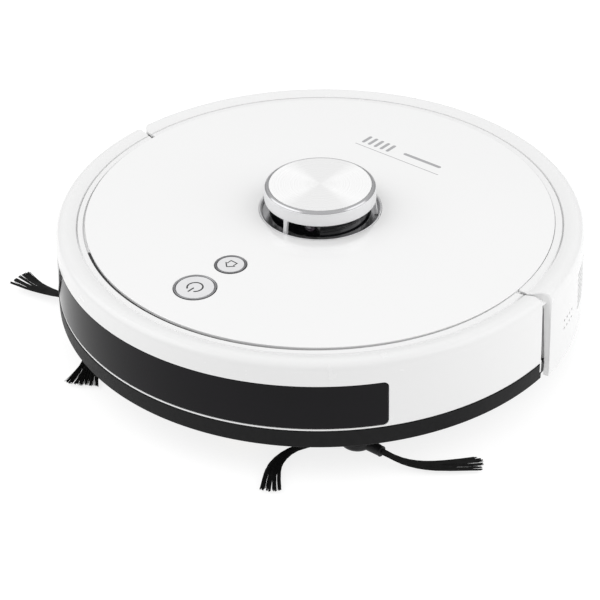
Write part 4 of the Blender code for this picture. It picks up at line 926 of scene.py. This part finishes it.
# ---------------------------------------------------------------- drive modules
for tag, side in SIDES:
    def m(bm, side=side):
        return mirrored(bm, side)

    outline = []
    for ay, az, r, t0, t1 in ((pivot_y, pivot_z, 5.6, 150.0, 270.0), (wheel_y + 8.0, 24.4, 8.0, -90.0, 0.0), (wheel_y + 3.0, 45.0, 13.0, 0.0, 90.0), (-10.0, 44.0, 14.0, 90.0, 150.0)):
        outline += [(ay + r * math.cos(math.radians(t0 + (t1 - t0) * i / 12)), az + r * math.sin(math.radians(t0 + (t1 - t0) * i / 12))) for i in range(13)]
    arm = Made("v_drive_arm_" + tag, m(soften(loft([[Vector((x, y, z)) for y, z in outline] for x in (92.2, 102.6)]), 0.6)))
    arm.add(m(rod_x(2.4, 86.4, 94.0, pivot_y, pivot_z, 32, 0.3)), m(rod_x(3.0, 100.0, 113.0, wheel_y, wheel_z, 32, 0.3)))
    wells = [m(rod_x(1.9, 101.4, 104.0, y, z, 24)) for y, z in ((-31.0, 25.0), (-18.0, 51.0), (12.0, 51.0), (14.0, 22.0))]
    arm.cut(*wells, m(rod_x(8.5, 90.0, 93.2, -10.0, 40.0, 40)))
    show("v_drive_arm_" + tag, arm, FRAME, "drive_arm_" + tag)
    can = Made("v_drive_motor_" + tag, m(along_x(lathe(fillet([(0.0, 66.2), (2.8, 66.2), (3.2, 67.2), (11.0, 67.2, 1.0), (11.0, 91.8, 0.5), (0.0, 91.8)], 0.2), 64), -10.0, 40.0)))
    can.cut(*[m(block(74.0, 82.0, -10.0 + 11.0 * math.cos(a) - 1.6, -10.0 + 11.0 * math.cos(a) + 1.6, 40.0 + 11.0 * math.sin(a) - 1.6, 40.0 + 11.0 * math.sin(a) + 1.6)) for a in (0.8, 2.35, 3.9, 5.5)])
    show("v_drive_motor_" + tag, can, STEEL, "drive_motor_" + tag)
    hub = [(3.3, 104.0), (9.0, 104.0), (10.0, 109.0), (24.0, 109.0), (25.0, 106.0), (27.7, 106.0), (27.7, 124.0), (25.4, 124.0), (24.0, 118.0), (10.5, 117.0), (9.0, 122.0), (0.0, 122.0), (0.0, 113.6), (3.3, 113.6)]
    wheel = Made("v_wheel_hub_" + tag, m(along_x(lathe(fillet(hub, 0.6, 3), 96), wheel_y, wheel_z)))
    holes = []
    for k in range(6):
        a = math.radians(60.0 * k + 30.0)
        holes.append(m(rod_x(4.2, 104.0, 126.0, wheel_y + 17.4 * math.cos(a), wheel_z + 17.4 * math.sin(a), 32)))
    wheel.cut(*holes)
    show("v_wheel_hub_" + tag, wheel, HUB, "wheel_hub_" + tag)
    # A treaded tyre: chevron blocks round it, with a smooth shoulder at each side.
    treads, per = 30, 8
    stations = [(28.0, 105.2), (32.2, 105.2), (32.9, 105.5), (33.3, 106.2)] + [(WHEEL_R, 107.2 + 15.6 * i / 14) for i in range(15)] + [(33.3, 123.8), (32.9, 124.5), (32.2, 124.8), (28.0, 124.8)]
    rings = []
    for i in range(treads * per):
        a = 2 * math.pi * i / (treads * per)
        ring = []
        for r, x in stations:
            u = (x - 115.0) / 8.6
            if r >= WHEEL_R - 0.01:
                phase = (i / per + 0.9 * abs(u)) % 1.0
                r = WHEEL_R - (1.5 if phase < 0.36 and abs(u) > 0.12 else 0.0)
            ring.append(Vector((x, wheel_y + r * math.cos(a), wheel_z + r * math.sin(a))))
        rings.append(ring)
    show("v_tyre_" + tag, m(loft(rings, closed=True)), RUBBER, "tyre_" + tag, sharp=50.0)

# ---------------------------------------------------------------- caster
wheel_at = (cx, cy + CASTER_TRAIL, CASTER_R)
fork = Made("v_caster_fork", lathe(fillet([(0.0, 9.0), (15.0, 9.0, 1.2), (19.0, 12.0, 2.0), (19.0, 30.6, 0.5), (4.2, 30.6, 0.3), (4.2, 40.0, 0.5), (0.0, 40.0)], 0.3, 4), 96, at=CASTER_XY))
fork.cut(rod_x(CASTER_R + 1.2, -7.2, 7.2, wheel_at[1], wheel_at[2], 64))
fork.cut(rod_x(1.9, -9.4, 9.4, wheel_at[1], wheel_at[2], 32))
fork.cut(block(-7.2, 7.2, wheel_at[1] - 14.2, wheel_at[1] + 14.2, 0.0, 13.0))
show("v_caster_fork", fork, HUB, "caster_fork")
roll = lathe(fillet([(0.0, -6.7), (9.0, -6.7, 0.3), (9.6, -6.0, 0.4), (11.6, -6.4, 0.5), (CASTER_R, -5.0, 0.8), (CASTER_R, 5.0, 0.8), (11.6, 6.4, 0.5), (9.6, 6.0, 0.4), (9.0, 6.7, 0.3), (0.0, 6.7)], 0.3, 4), 96)
caster = Made("v_caster_wheel", along_x(roll, wheel_at[1], wheel_at[2]))
caster.add(rod_x(1.6, -9.1, 9.1, wheel_at[1], wheel_at[2], 32, 0.2))
show("v_caster_wheel", caster, RUBBER, "caster_wheel")

# ---------------------------------------------------------------- main brush, tunnel, guard and drive
LOBES = 5
sections = []
for i in range(49):
    x = -ROLLER_HALF + 2.0 * ROLLER_HALF * i / 48.0
    vee = 150.0 * (abs(i - 24) / 24.0)
    ring = []
    for lobe in range(LOBES):
        for da, r in ((0.0, 8.3), (6.0, 8.3), (11.0, 8.6), (13.6, 10.2), (15.2, 13.0), (16.4, 16.1), (17.6, ROLLER_R), (19.2, ROLLER_R), (20.4, 16.1), (21.0, 13.0), (22.4, 10.2), (25.0, 8.6), (30.0, 8.3), (36.0, 8.3), (54.0, 8.3)):
            a = math.radians(vee + 72.0 * lobe + da)
            ring.append(Vector((x, ry + r * math.cos(a), rz + r * math.sin(a))))
    sections.append(ring)
roller = Made("v_main_brush", loft(sections))
roller.add(rod_x(4.0, -ROLLER_HALF - 3.4, ROLLER_HALF + 3.4, ry, rz, 32, 0.3))
show("v_main_brush", roller, BLADE, "main_brush", sharp=50.0)
rng = random.Random(11)
verts, faces = [], []
for lobe in range(LOBES):
    for i in range(44):
        x = -ROLLER_HALF + 2.5 + (2.0 * ROLLER_HALF - 5.0) * i / 43.0
        if min(abs(abs(x) - 28.0), abs(abs(x) - 56.0)) < 2.8:
            continue
        vee = 150.0 * (abs(x) / ROLLER_HALF)
        a = math.radians(vee + 72.0 * lobe + 54.0)
        d = Vector((0.0, math.cos(a), math.sin(a)))
        side_way = Vector((0.0, -math.sin(a), math.cos(a)))
        for k in range(9):
            off = Vector((rng.uniform(-0.9, 0.9), 0, 0)) + side_way * rng.uniform(-0.9, 0.9)
            root = Vector((x, ry, rz)) + d * 8.0 + off * 0.6
            end = Vector((x, ry, rz)) + d * rng.uniform(15.4, 16.4) + off * 1.7
            strand(verts, faces, [root, root.lerp(end, 0.5) + off * 0.1, end], 0.13, 3)
show("v_brush_bristles", mesh_of(verts, faces), BRISTLE, body="main_brush", weighted=False)
show("v_brush_ends", joined(*[rod_x(9.0, s * 79.2 - 0.7, s * 79.2 + 0.7, ry, rz, 48, 0.3) for s in (1.0, -1.0)]), HUB, body="main_brush")

tunnel = Made("v_brush_housing", arch(20.2, ry, 20.6, 16.0, -84.2, 84.2, 0.4))
tunnel.cut(arch(18.4, ry, 20.6, 10.0, -81.6, 81.6))
tunnel.cut(block(-42.0, 42.0, 40.0, 56.0, 24.0, 38.0), both(lambda: rod_x(4.6, 80.0, 83.2, ry, rz, 32)), both(lambda: block(80.0, 83.2, ry - 4.6, ry + 4.6, 10.0, rz)), own=True)
show("v_brush_housing", tunnel, FRAME, "brush_housing")
guard = Made("v_brush_guard", pad(-88.2, 88.2, 5.0, 55.0, 12.6, 15.6, 3.0, 0.5))
guard.cut(pad(-84.2, 84.2, 12.4, 47.6, 10.0, 18.0, 2.0, 0.0))
for x in (-60.0, 60.0):
    guard.add(block(x - 9.0, x + 9.0, 1.8, 8.0, 15.9, 17.4, 0.3))
    guard.add(block(x - 9.0, x + 9.0, 5.6, 8.0, 14.0, 17.3, 0.2))
bars = [carried(block(-0.9, 0.9, 11.6, 48.4, 12.35, 13.2, 0.3), Matrix.Translation((x, 0, 0))) for x in (-56.0, -28.0, 28.0, 56.0)]
guard.add(*bars)
grips = [block(x - 5.0, x + 5.0, 50.0 + 1.5 * k, 50.7 + 1.5 * k, 12.0, 13.2, 0.0) for x in (-60.0, 60.0) for k in range(3)]
guard.cut(*grips)
show("v_brush_guard", guard, FRAME, "brush_guard")
box = Made("v_brush_gearbox", block(-91.2, -84.6, 10.0, 44.0, 18.0, 64.0, 1.2, 3))
box.cut(*[rod_x(1.7, -93.0, -90.6, y, z, 24) for y, z in ((13.0, 21.0), (41.0, 21.0), (13.0, 61.0), (41.0, 61.0))], rod_x(7.0, -93.0, -90.8, 26.0, 54.0, 40))
show("v_brush_gearbox", box, FRAME, "brush_gearbox")
can = Made("v_brush_motor", along_x(lathe(fillet([(0.0, -84.1), (11.6, -84.1, 0.5), (11.6, -46.0, 1.6), (5.0, -46.0), (4.4, -42.0, 0.4), (0.0, -42.0)], 0.2), 64), 26.0, 54.0))
can.cut(*[block(-56.0, -50.0, 26.0 + 11.4 * math.cos(a) - 1.5, 26.0 + 11.4 * math.cos(a) + 1.5, 54.0 + 11.4 * math.sin(a) - 1.5, 54.0 + 11.4 * math.sin(a) + 1.5) for a in (0.7, 2.3, 3.8, 5.4)])
show("v_brush_motor", can, STEEL, "brush_motor")

# ---------------------------------------------------------------- side brushes
def turned(points, centre, degrees):
    spin = Matrix.Rotation(math.radians(degrees), 2)
    out = []
    for x, y, z in points:
        v = spin @ Vector((x - centre[0], y - centre[1]))
        out.append((centre[0] + v.x, centre[1] + v.y, z))
    return out


def bristles(path, wide, seed, clumps=7, per_clump=24):
    """A bundle of separate bristles: bound at the sleeve, fanned into a few locks at the tip."""
    rng = random.Random(seed)
    verts, faces = [], []
    for c in range(clumps):
        place = -1.0 + 2.0 * c / (clumps - 1) + rng.uniform(-0.10, 0.10)
        length = 1.0 - 0.03 * rng.random() - 0.03 * abs(place)
        lift = rng.uniform(-0.35, 0.5)
        for _ in range(per_clump):
            u, v = rng.gauss(0.0, 0.34), rng.gauss(0.0, 0.4)
            end = length * rng.uniform(0.955, 1.0)
            wave, phase = rng.uniform(-0.35, 0.35), rng.uniform(0.0, 6.28)
            ra, rr = rng.uniform(0.0, 6.28), 1.75 * math.sqrt(rng.random())
            points = []
            for i in range(11):
                t = end * i / 10.0
                here = lerp(path, t)
                ahead = lerp(path, min(t + 0.02, 1.0)) - lerp(path, max(t - 0.02, 0.0))
                across = Vector((-ahead.y, ahead.x, 0.0)).normalized()
                fan = min(max((t - 0.06) / 0.94, 0.0), 1.0)
                spread = (wide / 2) * fan ** 1.35
                off = across * (rr * math.cos(ra) * (1 - fan) + spread * place + 1.15 * max(1.0, wide / 11.0) * fan * u + wave * math.sin(3.0 * t + phase) * fan)
                rise = rr * math.sin(ra) * (1 - fan) + fan * (0.5 * v + lift * 0.8)
                p = here + off + Vector((0, 0, rise))
                p.z = max(p.z, 0.35)
                points.append(p)
            strand(verts, faces, points, 0.30, 4)
    return mesh_of(verts, faces)


RIGHT_TUFTS = [
    ([(124.8, -95.6, 9.4), (138.0, -90.5, 5.4), (152.0, -80.5, 3.6), (171.0, -60.0, 2.4)], 11.0),
    ([(93.6, -109.0, 9.4), (81.6, -123.0, 6.0), (81.0, -139.0, 3.8), (92.0, -156.0, 2.4)], 11.0),
]
LEFT_TUFTS = [
    ([(-124.6, -99.4, 9.4), (-140.0, -102.6, 6.4), (-160.0, -104.6, 5.2), (-177.0, -105.0, 6.4)], 17.0),
    ([(-93.6, -109.2, 9.4), (-80.0, -126.0, 6.0), (-68.0, -143.0, 3.8), (-60.0, -157.0, 2.4)], 21.0),
]
RIGHT_TUFTS.append((turned(RIGHT_TUFTS[0][0], SIDE_HUB, 120.0), 11.0))
LEFT_TUFTS.append((turned(LEFT_TUFTS[0][0], (-hx, hy), -120.0), 10.0))
for tag, side, tufts in (("R", 1.0, RIGHT_TUFTS), ("L", -1.0, LEFT_TUFTS)):
    centre = (side * hx, hy)
    hub = Made("v_side_hub_" + tag, lathe(fillet([(0.0, 5.6), (2.6, 5.6), (3.4, 5.4, 0.2), (6.0, 5.4, 0.8), (9.6, 7.0, 1.0), (10.6, 9.0, 1.0), (10.6, 12.2, 0.6), (4.2, 12.2), (4.2, 24.0), (0.0, 24.0)], 0.3, 4), 72, at=centre))
    for path, wide in tufts:
        start = Vector(path[0]) - Vector((centre[0], centre[1], path[0][2]))
        out = math.degrees(math.atan2(start.y, start.x))
        reach = start.length - 0.4
        sleeve = lathe(fillet([(0.0, 6.0), (3.7, 6.0), (3.5, 11.0, 0.6), (3.1, reach - 1.0, 0.5), (3.3, reach - 0.6, 0.3), (3.2, reach, 0.4), (2.3, reach, 0.2), (0.0, reach - 0.1)], 0.2, 3), 36)
        sleeve.transform(Matrix.Translation((centre[0], centre[1], 9.1)) @ Matrix.Rotation(math.radians(out), 4, "Z") @ Matrix.Rotation(math.radians(90.0), 4, "Y"))
        hub.add(sleeve)
    show("v_side_hub_" + tag, hub, SLEEVE, "side_hub_" + tag)
    show("v_side_screw_" + tag, screw_head(centre[0], centre[1], 5.35, 2.7, turn=25.0 * side), SCREW, body="side_brush_" + tag)
    for i, (path, wide) in enumerate(tufts):
        show("v_side_tuft_%s%d" % (tag, i + 1), bristles(path, wide, 7 * i + (3 if side > 0 else 5)), BRISTLE, "side_tuft_%s%d" % (tag, i + 1), weighted=False, sharp=60.0)
    drive = Made("v_side_motor_" + tag, disc(10.4, 20.2, 32.0, 64, centre, edge=0.6))
    drive.add(disc(9.0, 30.0, 46.0, 64, (centre[0] - side * 2.0, centre[1] + 3.0), edge=0.8))
    drive.cut(disc(4.6, 10.0, 24.8, 48, centre))
    show("v_side_motor_" + tag, drive, FRAME, "side_motor_" + tag)

# ---------------------------------------------------------------- battery, boards, contacts, sensors
pack_cells = Made("v_battery", block(-71.0, 71.0, -93.0, -31.0, 16.0, 40.0, 4.0, 4))
pack_cells.cut(*[block(x - 0.35, x + 0.35, -95.0, -29.0, 39.2, 42.0) for x in (-35.5, 0.0, 35.5)])
show("v_battery", pack_cells, BATTERY, "battery")
hatch = Made("v_battery_cover", pad(-74.7, 74.7, -96.7, -27.3, UNDERSIDE_Z, 15.5, 3.0, 0.35))
hatch.cut(*[disc(3.9, 10.0, 14.3, 40, (x, -33.0)) for x in (-66.0, 66.0)], *[pad(-50.0, 50.0, -88.0 + 9.0 * k, -86.6 + 9.0 * k, 12.0, 13.5, 0.6, 0.0) for k in range(6)])
show("v_battery_cover", hatch, CHASSIS, "battery_cover")
show("v_hatch_screws", joined(*[screw_head(x, -33.0, 13.3, 3.2, turn=12.0 + x) for x in (-66.0, 66.0)]), SCREW, body="main_body")
mother = Made("v_main_board", pad(-66.0, 66.0, -96.0, -26.0, 44.0, 45.6, 2.5, 0.12))
mother.cut(*[disc(1.7, 40.0, 50.0, 24, (x, y)) for x in (-62.0, 62.0) for y in (-92.0, -30.0)])
show("v_main_board", mother, BOARD, "main_board")
parts = [pad(-30.0, -12.0, -70.0, -52.0, 45.6, 47.8, 0.6, 0.2), pad(6.0, 26.0, -84.0, -70.0, 45.6, 48.6, 0.6, 0.2), pad(40.0, 58.0, -60.0, -36.0, 45.6, 53.6, 0.8, 0.4), pad(-58.0, -44.0, -88.0, -74.0, 45.6, 53.6, 0.8, 0.4)]
rng = random.Random(5)
for _ in range(44):
    x, y = rng.uniform(-60.0, 60.0), rng.uniform(-92.0, -30.0)
    if any(a - 3 < x < b + 3 and c - 3 < y < d + 3 for a, b, c, d in ((-30, -12, -70, -52), (6, 26, -84, -70), (40, 58, -60, -36), (-58, -44, -88, -74))):
        continue
    w, h = rng.choice(((1.0, 0.5), (1.6, 0.8), (2.4, 1.4)))
    parts.append(block(x - w, x + w, y - h, y + h, 45.6, 46.2 + 0.4 * w, 0.12))
show("v_board_parts", joined(*parts), CHIP, body="main_body")
cans = [lathe(fillet([(0.0, 45.6), (3.1, 45.6), (3.1, 53.4, 0.5), (0.0, 53.4)], 0.2), 40, at=at) for at in ((-4.0, -42.0), (4.5, -42.0), (13.0, -42.0), (34.0, -76.0))]
show("v_board_capacitors", joined(*cans), TIN, body="main_body")
for tag, side in SIDES:
    show("v_charge_contact_" + tag, mirrored(prism(rounded_rect(35.0, 57.0, -133.0, -125.0, 2.0), 12.8, 13.9, 0.25), side), BRASS, "charge_contact_" + tag)
    show("v_cliff_sensor_" + tag, mirrored(prism(rounded_rect(134.0, 142.0, -44.0, -26.0, 1.5), 12.9, 13.9, 0.25), side), LENS, "cliff_sensor_" + tag)


# ---------------------------------------------------------------- dust bin
def bin_outline(x0, x1, y0, r_back, n=40, corner=3.0):
    a0, a1 = math.degrees(math.acos(x1 / r_back)), math.degrees(math.acos(x0 / r_back))
    raw = [(x0, y0, corner), (x1, y0, corner)] + [(*tuple(polar(r_back, a0 + (a1 - a0) * i / n)[:2]), corner if i in (0, n) else 0.0) for i in range(n + 1)]
    return fillet(raw, 0.0, 5)


bx0, bx1 = BIN_X
dustbin = Made("v_dustbin", prism(bin_outline(bx0, bx1, BIN_Y0, 161.0), *BIN_Z, 0.6))
dustbin.cut(prism(bin_outline(bx0 + 1.8, bx1 - 1.8, BIN_Y0 + 1.8, 159.2, corner=2.0), BIN_Z[0] + 1.8, 70.0))
dustbin.cut(pad(-44.0, 44.0, 55.0, 70.0, 23.0, 40.0, 2.0, 0.0), block(60.0, 70.0, 74.0, 112.0, 26.0, 54.0))
show("v_dustbin", dustbin, BIN, "dustbin")
lid = Made("v_bin_lid", prism(bin_outline(bx0, bx1, BIN_Y0, 161.0), BIN_Z[1] + GAP, 62.2, 0.4))
lid.cut(*[pad(-60.0, 48.0, 74.0 + 10.0 * k, 75.4 + 10.0 * k, 61.8, 64.0, 0.6, 0.0) for k in range(7)])
show("v_bin_lid", lid, BIN, "bin_lid")
show("v_bin_filter", joined(block(64.9, 65.9, 74.6, 111.4, 26.6, 53.4, 0.2), *[block(60.4, 65.0, 75.6 + 1.9 * k, 76.1 + 1.9 * k, 28.0, 52.0, 0.12) for k in range(19)]), FILTER, "bin_filter")
panel = Made("v_bin_panel", bent_panel(BIN_PANEL_DEG[0], BIN_PANEL_DEG[1], *BIN_PANEL_Z, BIN_PANEL_CORNER, 2.6, 0.0, 60, lip=0.45))
panel.cut(bent_panel(90.0 - 5.65, 90.0 + 5.65, 44.7, 57.3, 2.2, 8.0, 4.0, 16))
lugs = []
for x in (-40.0, 30.0):
    y = math.sqrt(162.5 ** 2 - x ** 2)
    lugs.append(block(x - 4.0, x + 4.0, math.sqrt(161.0 ** 2 - (abs(x) - 4.0) ** 2) + 0.35, y + 2.6, 30.0, 38.0))
panel.add(*lugs)
show("v_bin_panel", panel, WHITE, "bin_panel")
latch = Made("v_bin_latch", bent_panel(90.0 - 5.5, 90.0 + 5.5, 45.0, 57.0, 2.0, 2.4, 0.0, 16, lip=0.4))
latch.cut(*[lathe([(164.6, 48.0 + 2.0 * k), (168.0, 48.0 + 2.0 * k), (168.0, 48.9 + 2.0 * k), (164.6, 48.9 + 2.0 * k)], 6, 87.6, 92.4) for k in range(4)])
show("v_bin_latch", latch, BUTTON, "bin_latch")

# ---------------------------------------------------------------- suction fan
fx, fy = FAN_XY
fan = Made("v_fan_housing", lathe(fillet([(0.0, 20.0), (25.0, 20.0, 1.5), (25.0, 58.0, 2.5), (9.0, 58.0), (8.4, 57.2), (0.0, 57.2)], 0.3), 96, at=FAN_XY))
fan.add(block(fx + 8.0, 122.0, fy - 2.0, fy + 23.0, 22.0, 52.0, 0.8))
fan.cut(disc(23.2, 22.0, 44.0, 96, FAN_XY))
fan.cut(block(fx + 9.0, 134.0, fy - 0.4, fy + 21.4, 23.6, 50.4))
fan.cut(block(70.0, fx, fy - 9.0, fy + 9.0, 26.0, 42.0))
show("v_fan_housing", fan, FRAME, "fan_housing")
blades = [lathe(fillet([(0.0, 24.0), (FAN_R, 24.0), (FAN_R, 25.4), (6.0, 25.6, 1.0), (5.0, 27.0, 1.0), (5.0, 42.6, 0.6), (0.0, 42.6)], 0.2), 64, at=FAN_XY)]
wheel = Made("v_fan_impeller", blades[0])
vanes = []
for k in range(11):
    rings = []
    for i in range(9):
        t = i / 8.0
        r, a = 4.6 + (FAN_R - 5.4) * t, math.radians(360.0 / 11 * k + 26.0 * t)
        p, d = Vector((fx + r * math.cos(a), fy + r * math.sin(a))), Vector((-math.sin(a), math.cos(a)))
        top = 41.0 - 7.0 * t
        rings.append([Vector((*(p + d * 0.45), 25.2)), Vector((*(p - d * 0.45), 25.2)), Vector((*(p - d * 0.4), top)), Vector((*(p + d * 0.4), top))])
    vanes.append(loft(rings))
wheel.add(*vanes)
show("v_fan_impeller", wheel, BIN, "fan_impeller")

# ---------------------------------------------------------------- floor, light and camera
floor_bm = bmesh.new()
bmesh.ops.create_grid(floor_bm, x_segments=2, y_segments=2, size=6000.0)
floor = raw_object("floor", floor_bm)
FLOOR = Stuff("studio_floor", (0.30, 0.30, 0.30), 0.9, Specular_IOR_Level=0.0, Emission_Color=(1.0, 1.0, 1.0, 1.0), Emission_Strength=0.78).mottle(2.0, 0.01).m
# Seen from below, the floor is clear, so that the underside shows.
under = FLOOR.node_tree
facing = under.nodes.new("ShaderNodeNewGeometry")
clear = under.nodes.new("ShaderNodeBsdfTransparent")
either = under.nodes.new("ShaderNodeMixShader")
surface = under.nodes["Material Output"].inputs["Surface"]
under.links.new(facing.outputs["Backfacing"], either.inputs[0])
under.links.new(under.nodes["Principled BSDF"].outputs[0], either.inputs[1])
under.links.new(clear.outputs[0], either.inputs[2])
under.links.new(either.outputs[0], surface)
# Far away the floor dims.
reach = under.nodes.new("ShaderNodeVectorMath")
reach.operation = "LENGTH"
under.links.new([n for n in under.nodes if n.type == "TEX_COORD"][0].outputs["Object"], reach.inputs[0])
dim = under.nodes.new("ShaderNodeMapRange")
dim.inputs["From Min"].default_value, dim.inputs["From Max"].default_value = 1.15, 2.6
dim.inputs["To Min"].default_value, dim.inputs["To Max"].default_value = 0.80, 0.30
under.links.new(reach.outputs["Value"], dim.inputs["Value"])
under.links.new(dim.outputs["Result"], under.nodes["Principled BSDF"].inputs["Emission Strength"])
floor.data.materials.append(FLOOR)

world = bpy.data.worlds.new("studio")
bpy.context.scene.world = world
world.use_nodes = True
wt = world.node_tree
background = wt.nodes["Background"]
coord = wt.nodes.new("ShaderNodeTexCoord")
split = wt.nodes.new("ShaderNodeSeparateXYZ")
wt.links.new(coord.outputs["Generated"], split.inputs[0])
height = wt.nodes.new("ShaderNodeMapRange")
height.inputs["From Min"].default_value, height.inputs["From Max"].default_value = -0.05, 0.75
height.inputs["To Min"].default_value, height.inputs["To Max"].default_value = 0.50, 0.92
wt.links.new(split.outputs["Z"], height.inputs["Value"])
wt.links.new(height.outputs["Result"], background.inputs["Strength"])
background.inputs["Color"].default_value = (1.0, 1.0, 1.0, 1.0)


def lamp(name, place, aim, size, watts, size_y=None):
    data = bpy.data.lights.new(name, "AREA")
    data.shape = "RECTANGLE"
    data.size, data.size_y = size, size_y or size
    data.energy = watts
    obj = bpy.data.objects.new(name, data)
    obj.location = place
    obj.rotation_mode = "QUATERNION"
    obj.rotation_quaternion = (Vector(aim) - Vector(place)).to_track_quat("-Z", "Y")
    bpy.context.scene.collection.objects.link(obj)
    return obj


lamp("left", (-1.15, -0.85, 1.25), (0.0, 0.0, 0.05), 1.7, 11.0)
lamp("right", (1.35, 0.75, 0.95), (0.0, 0.0, 0.05), 1.7, 10.0)

AZ, EL, DISTANCE, FOCAL = math.radians(39.7727), math.radians(32.8827), 951.5387, 1494.3207
PAN, TILT, ROLL = math.atan2(19.6026, FOCAL), math.atan2(-54.7035, FOCAL), math.radians(0.5086)
back = Vector((math.sin(AZ) * math.cos(EL), -math.cos(AZ) * math.cos(EL), math.sin(EL)))
right = Vector((math.cos(AZ), math.sin(AZ), 0.0))
up = back.cross(right)
a_axis = right * math.cos(ROLL) - up * math.sin(ROLL)
b_axis = right * math.sin(ROLL) + up * math.cos(ROLL)
x_axis = a_axis * math.cos(PAN) + (-back) * math.sin(PAN)
ahead = a_axis * -math.sin(PAN) + (-back) * math.cos(PAN)
y_axis = b_axis * math.cos(TILT) - ahead * math.sin(TILT)
ahead = b_axis * math.sin(TILT) + ahead * math.cos(TILT)
lens = bpy.data.cameras.new("camera")
lens.sensor_width = 36.0
lens.lens = FOCAL / 600.0 * 36.0
lens.clip_start, lens.clip_end = 0.05, 30.0
camera = bpy.data.objects.new("camera", lens)
place = (back * DISTANCE + Vector((0.0, 0.0, 50.0))) * 0.001
camera.matrix_world = Matrix((
    (x_axis.x, y_axis.x, -ahead.x, place.x),
    (x_axis.y, y_axis.y, -ahead.y, place.y),
    (x_axis.z, y_axis.z, -ahead.z, place.z),
    (0.0, 0.0, 0.0, 1.0),
))
bpy.context.scene.collection.objects.link(camera)
bpy.context.scene.camera = camera
bpy.context.scene.view_settings.view_transform = "Standard"
